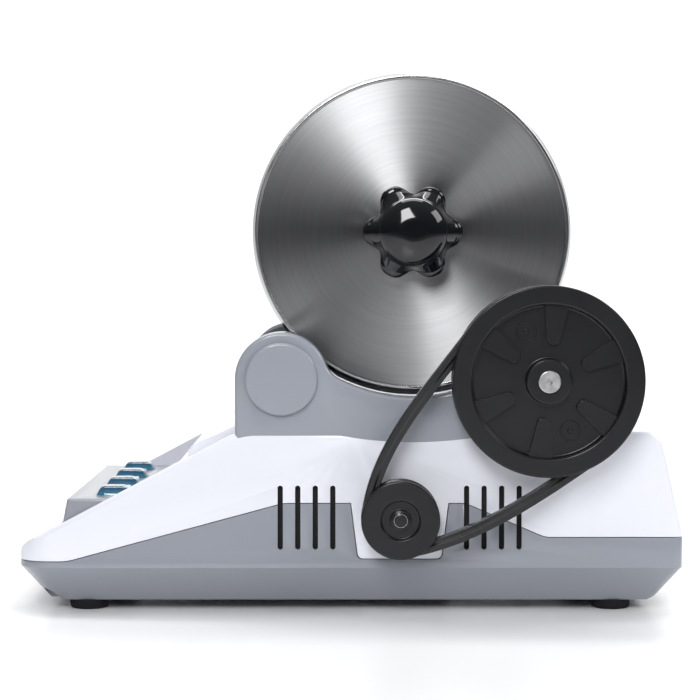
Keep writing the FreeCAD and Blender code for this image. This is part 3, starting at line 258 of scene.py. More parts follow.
def add_turned(work, outline, axis, steps, uv=None):
    """Turns a closed (radius, y) outline about an axis along Y at (x, z) into the bmesh."""
    x, z = axis
    rings = []
    for k in range(steps):
        angle = 2 * math.pi * k / steps
        rings.append([
            work.verts.new((x + r * math.cos(angle), y, z + r * math.sin(angle))) for r, y in outline
        ])
    for k in range(steps):
        here, there = rings[k], rings[(k + 1) % steps]
        for i in range(len(outline)):
            j = (i + 1) % len(outline)
            face = work.faces.new([here[i], here[j], there[j], there[i]])
            if uv is not None:
                places = ((k, i), (k, j), (k + 1, j), (k + 1, i))
                for loop, (turn, point) in zip(face.loops, places):
                    loop[uv].uv = (turn / steps, outline[point][0])


def upright(work):
    """Turns what was made about the Y axis at the origin so that it stands along Z."""
    bmesh.ops.rotate(work, verts=work.verts, cent=(0, 0, 0), matrix=Matrix.Rotation(math.pi / 2, 3, "X"))


def add_upright(work, outline, place, steps):
    """Adds a turned solid that stands along Z at a place."""
    solid = bmesh.new()
    add_turned(solid, outline, (0, 0), steps)
    upright(solid)
    bmesh.ops.translate(solid, verts=solid.verts, vec=place)
    mesh = mesh_of(solid)
    work.from_mesh(mesh)
    bpy.data.meshes.remove(mesh)


def finish_mesh(work, sharp=math.radians(40), smooth=True):
    """Closes poles, points the faces outwards and marks the crisp edges."""
    bmesh.ops.remove_doubles(work, verts=work.verts, dist=1e-6)
    bmesh.ops.recalc_face_normals(work, faces=work.faces)
    for face in work.faces:
        face.smooth = smooth
    mesh = mesh_of(work)
    mesh.set_sharp_from_angle(angle=sharp)
    return mesh


black_rubber = moulded_plastic(
    "Black rubber", (0.009, 0.009, 0.010), drift=0.18, rough=0.78, rub=0.08, grain=1500.0,
    depth=0.04 * MM, specular=0.25,
)
feet_low, feet_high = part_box("rubber_feet")
foot_radius, foot_height = 9.0 * MM, feet_high.z - feet_low.z
head_room, head_seat, shank_room = 3.7 * MM, foot_height * 0.7, 2.1 * MM
foot_taper = 0.4 * MM
foot_outline = rounded_profile([
    (head_room, 0, 0.4 * MM),
    (foot_radius - foot_taper, 0, 1.2 * MM),
    (foot_radius, foot_height, 0.3 * MM),
    (shank_room, foot_height, 0),
    (shank_room, head_seat, 0),
    (head_room, head_seat, 0.2 * MM),
])
feet = bmesh.new()
for x in (feet_low.x + foot_radius, feet_high.x - foot_radius):
    for y in (feet_low.y + foot_radius, feet_high.y - foot_radius):
        add_upright(feet, foot_outline, (x, y, feet_low.z), 64)
add_piece("feet", finish_mesh(feet), black_rubber, "base", "black_rubber", "rubber_feet")

# Screws. Zinc plated steel with pan heads and hexagon sockets, driven up through the tub. Those
# that show from below are cut with a thread; the ones inside keep the frame's plain shape.
def show_finish(material, *nodes):
    """Gives CAD nodes whose shape is already right their finish."""
    for node in nodes:
        for material_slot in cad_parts[node].material_slots:
            material_slot.material = material


def reckon(tree, operation, *values):
    """Math node on sockets or numbers."""
    return add_node(tree, "ShaderNodeMath", dict(enumerate(values)), operation=operation).outputs["Value"]


def joined(tree, x, y, z):
    """Vector from three sockets or numbers."""
    return add_node(tree, "ShaderNodeCombineXYZ", {"X": x, "Y": y, "Z": z}).outputs["Vector"]


def turned_lines_group():
    """Tool lines round an axis along Y: fine grooves, slow sheen patches and a rubbed tone."""
    inputs = {"Axis X": 0.0, "Axis Z": 0.0, "Lines": 2600.0, "Sweep": 1.2}
    group, given, result = shader_group("Turned lines", inputs, ["Grooves", "Patches", "Streaks"])
    coarse_share, smallest_radius, patch_scale = 0.16, 0.01 * MM, 38.0
    own = own_place(group)
    place = add_node(group, "ShaderNodeSeparateXYZ", {"Vector": own}).outputs
    across = reckon(group, "SUBTRACT", place["X"], given["Axis X"])
    up = reckon(group, "SUBTRACT", place["Z"], given["Axis Z"])
    squares = [reckon(group, "MULTIPLY", way, way) for way in (across, up)]
    radius = reckon(group, "SQRT", reckon(group, "ADD", *squares))
    safe_radius = reckon(group, "MAXIMUM", radius, smallest_radius)
    step = reckon(group, "MULTIPLY", reckon(group, "ADD", radius, place["Y"]), given["Lines"])
    coarse_step = reckon(group, "MULTIPLY", step, coarse_share)
    sweep_x, sweep_z = [
        reckon(group, "MULTIPLY", reckon(group, "DIVIDE", way, safe_radius), given["Sweep"])
        for way in (across, up)
    ]
    feed(result, {
        "Grooves": noise(group, joined(group, sweep_x, sweep_z, step), 1.0, 3.0),
        "Streaks": noise(group, joined(group, sweep_x, sweep_z, coarse_step), 1.0, 2.0),
        "Patches": noise(group, own, patch_scale, 4.0),
    })
    return group


turned_lines = turned_lines_group()


def turned_metal(name, dark, light, rough, rub, axis, lines, depth, stretch=0.0):
    """Metal with tool lines round an axis at (x, z), and glints stretched along its turned UV map."""
    material, tree, bsdf = new_material(name)
    values = {"Axis X": axis[0], "Axis Z": axis[1], "Lines": lines}
    tool = add_node(tree, "ShaderNodeGroup", values, node_tree=turned_lines).outputs
    feed(bsdf, {
        "Base Color": two_tone(tree, spread(tree, tool["Streaks"], 0.0, 1.0), dark, light),
        "Roughness": spread(tree, tool["Patches"], rough - rub, rough + rub),
        "Normal": relief(tree, tool["Grooves"], depth),
        "Metallic": 1.0,
    })
    if stretch:
        along = add_node(tree, "ShaderNodeTangent", {}, direction_type="UV_MAP", uv_map="turned")
        feed(bsdf, {
            "Anisotropic": stretch, "Anisotropic Rotation": 0.25, "Tangent": along.outputs["Tangent"],
        })
    return material


plated_steel = turned_metal(
    "Zinc plated steel", (0.46, 0.45, 0.42), (0.62, 0.61, 0.58), rough=0.34, rub=0.08, axis=(0, 0),
    lines=900.0, depth=0.01 * MM,
)


def screw_mesh(head_radius, head_height, length):
    """Pan head screw standing on its head at the origin, with a hexagon socket and a cut thread."""
    socket, socket_depth = head_radius * 0.5, head_height * 0.6
    shank, pitch, thread_depth, neck = 1.9 * MM, 0.7 * MM, 0.25 * MM, 1.0 * MM
    corners = [
        (0.0, socket_depth, 0),
        (socket, socket_depth, 0),
        (socket, 0.0, 0.1 * MM),
        (head_radius, 0.0, head_height * 0.3),
        (head_radius, head_height, 0.1 * MM),
        (shank, head_height, 0),
    ]
    height = head_height + neck
    while height < length - 2 * pitch:
        corners += [(shank, height, 0), (shank - thread_depth, height + pitch / 2, 0)]
        height += pitch
    corners += [(shank, height, 0), (shank * 0.6, length, 0), (0.0, length, 0)]
    work = bmesh.new()
    add_turned(work, rounded_profile(corners, steps=3), (0, 0), 48)
    for vert in work.verts:
        reach = math.hypot(vert.co.x, vert.co.z)
        if vert.co.y < socket_depth * 1.02 and reach < socket * 1.15:
            angle = math.atan2(vert.co.z, vert.co.x) % (math.pi / 3) - math.pi / 6
            flat = math.cos(math.pi / 6) / math.cos(angle)
            vert.co.x *= flat
            vert.co.z *= flat
    upright(work)
    return finish_mesh(work)


def nodes_tree(name, inputs):
    """Geometry node tree with named inputs, and the sockets that give them."""
    tree = bpy.data.node_groups.new(name, "GeometryNodeTree")
    tree.interface.new_socket("Geometry", in_out="OUTPUT", socket_type="NodeSocketGeometry")
    for label, kind in inputs.items():
        tree.interface.new_socket(label, in_out="INPUT", socket_type="NodeSocket" + kind)
    return tree, tree.nodes.new("NodeGroupInput").outputs


def place_copies(tree, points, model, turn):
    """Instances of an object on points."""
    shape = add_node(tree, "GeometryNodeObjectInfo", {"Object": model}).outputs["Geometry"]
    values = {"Points": points, "Instance": shape, "Rotation": turn}
    return add_node(tree, "GeometryNodeInstanceOnPoints", values).outputs["Instances"]


def close_tree(tree, geometry, material):
    """Realizes the instances, sets the finish and hands the result out."""
    real = add_node(tree, "GeometryNodeRealizeInstances", {"Geometry": geometry}).outputs["Geometry"]
    finish = add_node(tree, "GeometryNodeSetMaterial", {"Geometry": real, "Material": material})
    add_node(tree, "NodeGroupOutput", {"Geometry": finish.outputs["Geometry"]})
    return tree


def grown_mesh(data, tree, values):
    """Plain mesh that a tree makes from some starting data and its inputs; objects among them go."""
    holder = linked("growing", data)
    modifier = holder.modifiers.new("tree", "NODES")
    modifier.node_group = tree
    for socket in tree.interface.items_tree:
        if socket.name in values:
            modifier[socket.identifier] = values[socket.name]
    mesh = baked(holder)
    for value in values.values():
        if isinstance(value, bpy.types.Object):
            bpy.data.objects.remove(value)
    return mesh


def screws_tree():
    """A screw on every point, each turned differently by a fixed seed."""
    tree, given = nodes_tree("Screws on points", {
        "Points": "Geometry", "Screw": "Object", "Finish": "Material", "Turn": "Float",
    })
    random = add_node(tree, "FunctionNodeRandomValue", {3: given["Turn"], "Seed": 7}).outputs[1]
    screws = place_copies(tree, given["Points"], given["Screw"], joined(tree, 0.0, 0.0, random))
    return close_tree(tree, screws, given["Finish"])


screw_tree, whole_turn = screws_tree(), 6.283
for node, head_radius, head_height in (
    ("foot_screws", 3.6 * MM, 1.8 * MM),
    ("case_screws", 3.8 * MM, 2.6 * MM),
    ("bracket_screws", 3.4 * MM, 1.8 * MM),
):
    low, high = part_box(node)
    places = bpy.data.meshes.new(node + "_places")
    places.from_pydata([
        (x, y, low.z)
        for x in (low.x + head_radius, high.x - head_radius)
        for y in (low.y + head_radius, high.y - head_radius)
    ], [], [])
    screws = grown_mesh(places, screw_tree, {
        "Screw": linked("screw", screw_mesh(head_radius, head_height, high.z - low.z)),
        "Finish": plated_steel,
        "Turn": whole_turn,
    })
    add_piece(node + "_set", screws, plated_steel, "base", "plated_steel", node)
show_finish(
    plated_steel, "cradle_screws", "panel_screws", "board_screws", "motor_screws", "motor_bracket",
    "driven_pulley_set_screw", "knob_washer", "idler_shaft_clips", "drive_shaft_clips",
)

# Motor. An induction motor in a painted can between two cast bells, bolted to a folded bracket.
# Its shaft runs in brass bushes, with a plastic fan behind and the small pulley in front.
motor_axis = (motor_x, motor_z)
black_plastic = moulded_plastic(
    "Black moulded plastic", (0.021, 0.0215, 0.023), drift=0.10, rough=0.40, rub=0.06, grain=1800.0,
    depth=0.02 * MM,
)
motor_paint = moulded_plastic(
    "Motor paint", (0.030, 0.031, 0.034), drift=0.12, rough=0.42, rub=0.10, grain=700.0, depth=0.05 * MM
)
cast_aluminium = moulded_plastic(
    "Die cast aluminium", (0.56, 0.565, 0.57), drift=0.06, rough=0.48, rub=0.10, grain=900.0,
    depth=0.05 * MM, metal=1.0,
)
lamination_steel = turned_metal(
    "Stacked laminations", (0.07, 0.07, 0.075), (0.22, 0.22, 0.23), rough=0.45, rub=0.1, axis=motor_axis,
    lines=2000.0, depth=0.08 * MM,
)
ground_steel = turned_metal(
    "Ground steel", (0.60, 0.60, 0.61), (0.76, 0.76, 0.77), rough=0.24, rub=0.05, axis=motor_axis,
    lines=3000.0, depth=0.006 * MM,
)
turned_brass = turned_metal(
    "Turned brass", (0.52, 0.36, 0.13), (0.70, 0.50, 0.20), rough=0.28, rub=0.06, axis=motor_axis,
    lines=2200.0, depth=0.01 * MM,
)
show_finish(motor_paint, "motor_can")
show_finish(cast_aluminium, "motor_front_bell", "motor_rear_bell")
show_finish(turned_brass, "motor_bushes", "knob_insert", "inlet_pins")
show_finish(lamination_steel, "motor_stator", "motor_rotor")
show_finish(ground_steel, "motor_shaft", "clamp_stud")
show_finish(black_plastic, "motor_fan")

# Power board. Glass fibre board with green solder mask on the tub's standoffs, and its parts:
# a potted transformer, two capacitors and a relay in moulded cases. The keypad board is alike.
def solder_mask():
    """Green mask with copper runs that show through as lighter lines."""
    material, tree, bsdf = new_material("Solder mask")
    place = own_place(tree)
    runs = add_node(tree, "ShaderNodeTexBrick", {
        "Vector": place,
        "Scale": 180.0,
        "Mortar Size": 0.045,
        "Color1": (0.0, 0.0, 0.0, 1.0),
        "Color2": (0.18, 0.18, 0.18, 1.0),
        "Mortar": (1.0, 1.0, 1.0, 1.0),
    }).outputs["Color"]
    feed(bsdf, {
        "Base Color": two_tone(tree, runs, (0.004, 0.045, 0.018), (0.020, 0.130, 0.055)),
        "Roughness": spread(tree, noise(tree, place, 60.0, 4.0), 0.24, 0.38),
        "Normal": relief(tree, runs, 0.03 * MM),
    })
    return material


moulded_cases = moulded_plastic(
    "Moulded cases", (0.040, 0.042, 0.050), drift=0.25, rough=0.42, rub=0.10, grain=1200.0, depth=0.04 * MM
)
show_finish(solder_mask(), "power_board", "control_board")
show_finish(moulded_cases, "power_parts", "key_switches", "display_module")

# Power inlet. A flanged socket of black plastic let into the leaning rear wall, with three flat
# brass contacts. It snaps in from behind, and takes the connector of a mains lead.
inlet_edge = 0.35 * MM
add_eased("inlet_socket", "power_inlet", inlet_edge, 2, black_plastic, "black_plastic")

# Upper housing. A white gloss moulding that closes the tub: sloping sides, a sunk bay for the
# panel, a dished deck and a tongue behind the small pulley. Four posts take the case screws.
white_plastic = moulded_plastic(
    "White gloss plastic", (0.800, 0.812, 0.885), drift=0.015, rough=0.22, rub=0.05, grain=900.0,
    depth=0.012 * MM, coat=0.35,
)
housing_edge = 0.45 * MM
add_eased("white_housing", "upper_housing", housing_edge, 3, white_plastic, "white_plastic", vents)

# Dust screens. Four pads of black open foam glued behind the vents, two on each side wall.
# They are cut from sheet, stand just clear of the slots and let the motor's air through.
def foam_pads(thickness, margin, wall, gap):
    """A pad behind each group of vents in each side wall."""
    work = bmesh.new()
    inset = wall + gap + thickness / 2
    low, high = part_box("upper_housing")
    for y in (low.y + inset, high.y - inset):
        for x_low, x_high, z_low, z_high in vents:
            middle = Matrix.Translation(((x_low + x_high) / 2, y, (z_low + z_high) / 2))
            size = Matrix.Diagonal((x_high - x_low + margin, thickness, z_high - z_low + margin, 1.0))
            bmesh.ops.create_cube(work, size=1.0, matrix=middle @ size)
    rounding = thickness * 0.3
    bmesh.ops.bevel(work, geom=work.edges[:], offset=rounding, segments=2, affect="EDGES", profile=0.5)
    return finish_mesh(work, smooth=False)


open_foam = moulded_plastic(
    "Black open foam", (0.010, 0.010, 0.011), drift=0.30, rough=0.90, rub=0.05, grain=900.0, depth=0.4 * MM
)
pads = foam_pads(thickness=1.4 * MM, margin=2.0 * MM, wall=2.5 * MM, gap=0.3 * MM)
add_piece("dust_screens", pads, open_foam, "base", "black_rubber")

# Roller cradle. A grey moulding with a cheek at each side that carries the bearings and a sunk
# trough between them. Four screws hold it down from inside the housing.
cradle_edge = 0.6 * MM
add_eased("cradle", "roller_cradle", cradle_edge, 4, grey_plastic, "grey_plastic")

# Bearings. Eight balls run between two hardened rings at each end of each roller shaft.
# They keep their shape from the frame and are polished.
idler_x, roller_z, idler_front, idler_back, shaft_radius = round_place("idler_shaft")
drive_x, _, drive_front, drive_back, _ = round_place("drive_shaft")
idler_axis, drive_axis = (idler_x, roller_z), (drive_x, roller_z)
polished_steel = turned_metal(
    "Polished bearing steel", (0.62, 0.62, 0.64), (0.72, 0.72, 0.74), rough=0.12, rub=0.04,
    axis=idler_axis, lines=3200.0, depth=0.004 * MM,
)
show_finish(
    polished_steel, "bearing_outer_races", "bearing_balls", "idler_inner_races", "drive_inner_races"
)

# Bearing caps. Flat grey discs with a round edge, pressed into the bores of the cheeks by a spigot.
# Behind the large pulley an open retainer lets the drive shaft through.
cap_low, cap_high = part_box("bearing_caps")
cap_radius = round_place("drive_retainer")[4]
cap_height, cap_rounding = 2.5 * MM, 1.2 * MM
near_face, far_face = cap_low.y + cap_height, cap_high.y - cap_height
spigot_radius, spigot_bore, spigot_depth = 12.9 * MM, 10.4 * MM, 4.8 * MM
spigot_sink = 0.4 * MM
shaft_room = 2.0 * MM


def add_lathed(name, outline, axis, steps, material, body, slot, *nodes, mapped=False):
    """Piece turned about an axis along Y at (x, z), with a turned UV map if it is asked for."""
    work = bmesh.new()
    add_turned(work, outline, axis, steps, work.loops.layers.uv.new("turned") if mapped else None)
    add_piece(name, finish_mesh(work), material, body, slot, *nodes)


def cap_outline(face, out, bore):
    """Section of a cap on a cheek face, its plate standing out by one cap height."""
    plate = face + out * cap_height
    spigot_end = face - out * spigot_depth
    hollow = face + out * spigot_sink
    return rounded_profile([
        (bore, plate, 0),
        (cap_radius - cap_rounding - 0.4 * MM, plate, 0),
        (cap_radius, plate, cap_rounding),
        (cap_radius, face, 0),
        (spigot_radius, face, 0.2 * MM),
        (spigot_radius, spigot_end, 0.3 * MM),
        (spigot_bore, spigot_end, 0.3 * MM),
        (spigot_bore, hollow, 0.2 * MM),
        (bore, hollow, 0),
    ])


caps = bmesh.new()
for face, out, axis in ((near_face, -1, idler_axis), (far_face, 1, idler_axis), (far_face, 1, drive_axis)):
    add_turned(caps, cap_outline(face, out, 0.0), axis, 128)
add_piece("caps", finish_mesh(caps), grey_plastic, "base", "grey_plastic", "bearing_caps")
retainer_section = cap_outline(near_face, -1, shaft_radius + shaft_room)
add_lathed(
    "retainer", retainer_section, drive_axis, 128, grey_plastic, "base", "grey_plastic", "drive_retainer"
)

# Rollers. Each is a ground steel shaft with a plastic core and a thick rubber sleeve on it,
# held between its bearings by two spring clips. The drive shaft runs on through the large pulley.
roller_front, roller_back, roller_radius = round_place("idler_roller_sleeve")[2:]
core_radius = round_place("idler_roller_core")[4]
sleeve_section = rounded_profile([
    (core_radius, roller_front, 0.2 * MM),
    (roller_radius, roller_front, 1.0 * MM),
    (roller_radius, roller_back, 1.0 * MM),
    (core_radius, roller_back, 0.2 * MM),
], steps=6)
for side, axis, front, back, centre_hole in (
    ("idler", idler_axis, idler_front, idler_back, 0.6 * MM),
    ("drive", drive_axis, drive_front, drive_back, 1.4 * MM),
):
    body = side + "_roller"
    add_lathed(
        side + "_sleeve", sleeve_section, axis, 128, black_rubber, body, "black_rubber",
        side + "_roller_sleeve",
    )
    shaft_steel = turned_metal(
        side + " shaft steel", (0.40, 0.40, 0.41), (0.58, 0.58, 0.59), rough=0.30, rub=0.05,
        axis=axis, lines=2600.0, depth=0.02 * MM,
    )
    shaft_section = rounded_profile([
        (0.0, front + centre_hole, 0),
        (centre_hole, front, 0.1 * MM),
        (shaft_radius, front, 0.5 * MM),
        (shaft_radius, back, 0.5 * MM),
        (0.0, back, 0),
    ])
    add_lathed(
        side + "_spindle", shaft_section, axis, 96, shaft_steel, body, "shaft_steel", side + "_shaft"
    )
    show_finish(black_plastic, side + "_roller_core")

# Large pulley. Black moulded plastic with a V groove, a sunk web and six raised spokes, fixed to
# the drive shaft by a set screw. Two shallow gate marks are left on the web by the mould.
pulley_front, pulley_back, pulley_radius = round_place("driven_pulley")[2:]
belt_y = (pulley_front + pulley_back) / 2
hub_radius, back_hub_radius, rim_bore = 10.0 * MM, 13.0 * MM, 34.0 * MM
web_front = pulley_front + 5.0 * MM
web_back = web_front + 6.0 * MM
groove_depth, groove_mouth, groove_floor, groove_round = 6.1 * MM, 4.46 * MM, 2.63 * MM, 0.3 * MM
rim_round = 0.8 * MM


def groove_corners(radius):
    """Corners of the V groove in a rim, from its front to its back."""
    floor = radius - groove_depth
    return [
        (radius, belt_y - groove_mouth, groove_round),
        (floor, belt_y - groove_floor, groove_round),
        (floor, belt_y + groove_floor, groove_round),
        (radius, belt_y + groove_mouth, groove_round),
    ]


pulley_section = rounded_profile([
    (shaft_radius, pulley_front, 0.3 * MM),
    (hub_radius, pulley_front, 0.7 * MM),
    (hub_radius, web_front, 0.8 * MM),
    (rim_bore, web_front, 1.0 * MM),
    (rim_bore, pulley_front, 0.9 * MM),
    (pulley_radius, pulley_front, rim_round),
    *groove_corners(pulley_radius),
    (pulley_radius, pulley_back, rim_round),
    (rim_bore, pulley_back, 0.6 * MM),
    (rim_bore, web_back, 0.8 * MM),
    (back_hub_radius, web_back, 0.8 * MM),
    (back_hub_radius, pulley_back, 0.5 * MM),
    (shaft_radius, pulley_back, 0.3 * MM),
])


def spoke_mesh(inner, outer, angle, rise):
    """One raised spoke lying along +X on the web, round at its inner end, with softened edges."""
    root, end_round, edge_round, guard = 0.4 * MM, 1.9 * MM, 0.5 * MM, 0.12 * MM
    half = angle / 2
    outline = rounded_profile([
        (reach * math.cos(turn), reach * math.sin(turn), radius)
        for reach, turn, radius in (
            (inner, -half, end_round), (outer, -half, 0), (outer, half, 0), (inner, half, end_round),
        )
    ])
    work = bmesh.new()
    lower, upper = [
        [work.verts.new((x, y, z)) for x, z in outline] for y in (web_front + root, web_front - rise)
    ]
    work.faces.new(upper)
    for i in range(len(outline)):
        j = (i + 1) % len(outline)
        work.faces.new([lower[i], lower[j], upper[j], upper[i]])
    raised = [e for e in work.edges if e.verts[0] in upper and e.verts[1] in upper]
    bmesh.ops.bevel(work, geom=raised, offset=edge_round, segments=3, affect="EDGES", profile=0.5)
    flat = max(work.faces, key=lambda face: len(face.verts))
    bmesh.ops.inset_individual(work, faces=[flat], thickness=guard)
    return finish_mesh(work)


def spokes_tree():
    """Copies of one piece set evenly round an axis along Y."""
    tree, given = nodes_tree("Spokes round a hub", {
        "Spoke": "Object", "Count": "Int", "Phase": "Float", "Hub": "Vector", "Finish": "Material",
    })
    values = {"Count": given["Count"], "Position": given["Hub"]}
    points = add_node(tree, "GeometryNodePoints", values).outputs["Points"]
    number = tree.nodes.new("GeometryNodeInputIndex").outputs["Index"]
    share = reckon(tree, "DIVIDE", number, given["Count"])
    turn = reckon(tree, "SUBTRACT", reckon(tree, "MULTIPLY", share, -2 * math.pi), given["Phase"])
    spokes = place_copies(tree, points, given["Spoke"], joined(tree, 0.0, turn, 0.0))
    return close_tree(tree, spokes, given["Finish"])


satin_black = moulded_plastic(
    "Satin black plastic", (0.0080, 0.0084, 0.0100), drift=0.12, rough=0.32, rub=0.04, grain=1500.0,
    depth=0.02 * MM, coat=0.2, specular=0.26,
)
add_lathed(
    "large_pulley", pulley_section, drive_axis, 192, satin_black, "drive_roller", "black_plastic",
    "driven_pulley",
)
spoke_phase = math.radians(24)
spoke = spoke_mesh(inner=16.6 * MM, outer=34.6 * MM, angle=math.radians(18), rise=2.5 * MM)
spokes = grown_mesh(bpy.data.meshes.new("spokes"), spokes_tree(), {
    "Spoke": linked("spoke", spoke),
    "Count": 6,
    "Phase": spoke_phase,
    "Hub": (drive_x, 0.0, roller_z),
    "Finish": satin_black,
})
add_piece("pulley_spokes", spokes, satin_black, "drive_roller", "black_plastic")
gate_radius, gate_place = 4.5 * MM, 24.0 * MM
gate_root, gate_top, pip_top = web_front + 0.2 * MM, web_front - 0.35 * MM, web_front - 0.5 * MM
gate_section = rounded_profile([
    (gate_radius - 0.9 * MM, gate_root, 0),
    (gate_radius - 0.7 * MM, gate_top, 0.15 * MM),
    (gate_radius, gate_top, 0.15 * MM),
    (gate_radius + 0.3 * MM, gate_root, 0),
], steps=3)
pip_section = rounded_profile([
    (0.0, gate_root, 0),
    (0.0, pip_top, 0),
    (1.1 * MM, pip_top, 0.3 * MM),
    (1.4 * MM, gate_root, 0),
], steps=3)
gates = bmesh.new()
for angle in (spoke_phase + math.pi / 2, spoke_phase - math.pi / 2):
    axis = (drive_x + gate_place * math.cos(angle), roller_z + gate_place * math.sin(angle))
    add_turned(gates, gate_section, axis, 64)
    add_turned(gates, pip_section, axis, 32)
add_piece("gate_marks", finish_mesh(gates), satin_black, "drive_roller", "black_plastic")

# Small pulley. Black moulded plastic with the same groove, pressed on the motor shaft.
# Its face is sunk round the hub, and a low domed cap closes the hub over the end of the shaft.
small_front, small_back, small_radius = round_place("motor_pulley")[2:]
motor_shaft_radius = round_place("motor_shaft")[4]
small_hub, small_rim_bore, small_web = 4.5 * MM, 8.6 * MM, small_front + 2.0 * MM
small_section = rounded_profile([
    (motor_shaft_radius, small_front, 0),
    (0.0, small_front, 0),
    (0.0, small_front - 0.8 * MM, 0),
    (2.4 * MM, small_front - 0.7 * MM, 1.0 * MM),
    (3.9 * MM, small_front - 0.1 * MM, 0.2 * MM),
    (small_hub, small_front, 0.2 * MM),
    (small_hub, small_web, 0.5 * MM),
    (small_rim_bore, small_web, 0.6 * MM),
    (small_rim_bore, small_front, 0.7 * MM),
    (small_radius, small_front, rim_round),
    *groove_corners(small_radius),
    (small_radius, small_back, rim_round),
    (motor_shaft_radius, small_back, 0.3 * MM),
])
add_lathed(
    "small_pulley", small_section, motor_axis, 160, satin_black, "motor_armature", "black_plastic",
    "motor_pulley",
)

# Drive belt. An endless belt of black rubber round both pulleys: a broad band outside and a
# narrower tongue in the grooves. It is put on by hand, and bows outwards between the pulleys.
belt_sink = 0.1 * MM
band_half, band_depth = 3.5 * MM, 2.6 * MM
neck_half, neck_depth = 2.92 * MM, 3.5 * MM
tongue_half, tongue_depth = 2.75 * MM, 5.5 * MM
half_section = [
    (0.0, band_half, 0.6 * MM),
    (-band_depth, band_half, 0.15 * MM),
    (-neck_depth, neck_half, 0.1 * MM),
    (-tongue_depth, tongue_half, 0.4 * MM),
]
belt_section = rounded_profile(
    [(depth, -half, radius) for depth, half, radius in half_section] + half_section[::-1], steps=4
)
left_off = (math.radians(144), math.radians(174))
lower_off = (math.radians(280), math.radians(305))


def belt_path(big, big_radius, small, small_radius, steps):
    """Points of the belt's outer line, anticlockwise, with bowed runs between the two wraps."""
    def wrap(centre, radius, start, end):
        angles = [start + (end - start) * k / steps for k in range(steps + 1)]
        return [centre + Vector((math.cos(angle), math.sin(angle))) * radius for angle in angles]

    def run(start, start_angle, end, end_angle):
        reach = (end - start).length / 3
        first = start + Vector((-math.sin(start_angle), math.cos(start_angle))) * reach
        second = end - Vector((-math.sin(end_angle), math.cos(end_angle))) * reach
        return [
            start * (1 - t) ** 3 + first * (3 * t * (1 - t) ** 2)
            + second * (3 * t * t * (1 - t)) + end * t ** 3
            for t in (k / steps for k in range(1, steps))
        ]

    big_wrap = wrap(big, big_radius, lower_off[1] - 2 * math.pi, left_off[0])
    small_wrap = wrap(small, small_radius, left_off[1], lower_off[0])
    return [
        *big_wrap, *run(big_wrap[-1], left_off[0], small_wrap[0], left_off[1]),
        *small_wrap, *run(small_wrap[-1], lower_off[0], big_wrap[0], lower_off[1]),
    ]


def closed_line(name, points):
    """Closed curve through flat points."""
    curve = bpy.data.curves.new(name, "CURVE")
    curve.dimensions = "3D"
    spline = curve.splines.new("POLY")
    spline.points.add(len(points) - 1)
    for point, place in zip(spline.points, points):
        point.co = (place.x, place.y, 0.0, 1.0)
    spline.use_cyclic_u = True
    return curve


def belt_tree():
    """A section swept along a closed line, then stood up in the belt's plane."""
    tree, given = nodes_tree("Belt on a line", {
        "Line": "Geometry", "Section": "Object", "Plane": "Float", "Finish": "Material",
    })
    section = add_node(tree, "GeometryNodeObjectInfo", {"Object": given["Section"]}).outputs["Geometry"]
    values = {"Curve": given["Line"], "Profile Curve": section}
    sweep = add_node(tree, "GeometryNodeCurveToMesh", values).outputs["Mesh"]
    smooth = add_node(tree, "GeometryNodeSetShadeSmooth", {"Geometry": sweep}).outputs["Geometry"]
    stand = add_node(tree, "GeometryNodeTransform", {
        "Geometry": smooth,
        "Rotation": (math.pi / 2, 0.0, 0.0),
        "Translation": joined(tree, 0.0, given["Plane"], 0.0),
    })
    return close_tree(tree, stand.outputs["Geometry"], given["Finish"])


belt_points = belt_path(
    Vector(drive_axis), pulley_radius - belt_sink, Vector(motor_axis), small_radius - belt_sink, 60
)
belt_rubber = moulded_plastic(
    "Belt rubber", (0.0090, 0.0094, 0.0108), drift=0.20, rough=0.30, rub=0.06, grain=1300.0, depth=0.02 * MM
)
belt_mesh = grown_mesh(closed_line("belt_line", belt_points), belt_tree(), {
    "Section": linked("belt_section", closed_line("belt_section", belt_section)),
    "Plane": belt_y,
    "Finish": belt_rubber,
})
belt_mesh.set_sharp_from_angle(angle=math.radians(40))
add_piece("v_belt", belt_mesh, belt_rubber, "base", "black_rubber", "drive_belt")

# Control panel. A pale grey hood screwed into the bay between the rails, with four holes for the
# keys and a shallow seat for the display window along its upper edge.
panel_plastic = moulded_plastic(
    "Panel plastic", (0.262, 0.275, 0.312), drift=0.03, rough=0.40, rub=0.01, grain=1500.0,
    depth=0.01 * MM, coat=0.5,
)
panel_edge = 0.45 * MM
add_eased("panel_hood", "control_panel", panel_edge, 3, panel_plastic, "panel_plastic")

# Display window. Smoked acrylic glued into its seat; the digit module shows behind it only as a
# darker bar. Polished, with a few fine wiping marks.
def smoked_acrylic():
    """Dark polished plastic, rubbed by wiping along the panel."""
    material, tree, bsdf = new_material("Smoked acrylic")
    place = own_place(tree)
    wiping = {"Vector": place, "Scale": (900.0, 30.0, 900.0)}
    wiped = noise(tree, add_node(tree, "ShaderNodeMapping", wiping).outputs["Vector"], 1.0, 3.0)
    cloud = noise(tree, place, 25.0, 2.0)
    feed(bsdf, {
        "Base Color": two_tone(tree, cloud, (0.006, 0.007, 0.009), (0.014, 0.015, 0.018)),
        "Roughness": spread(tree, wiped, 0.05, 0.13),
        "Coat Weight": 0.5,
    })
    return material


window_edge = 0.25 * MM
add_eased("display_glass", "display_window", window_edge, 2, smoked_acrylic(), "smoked_plastic")

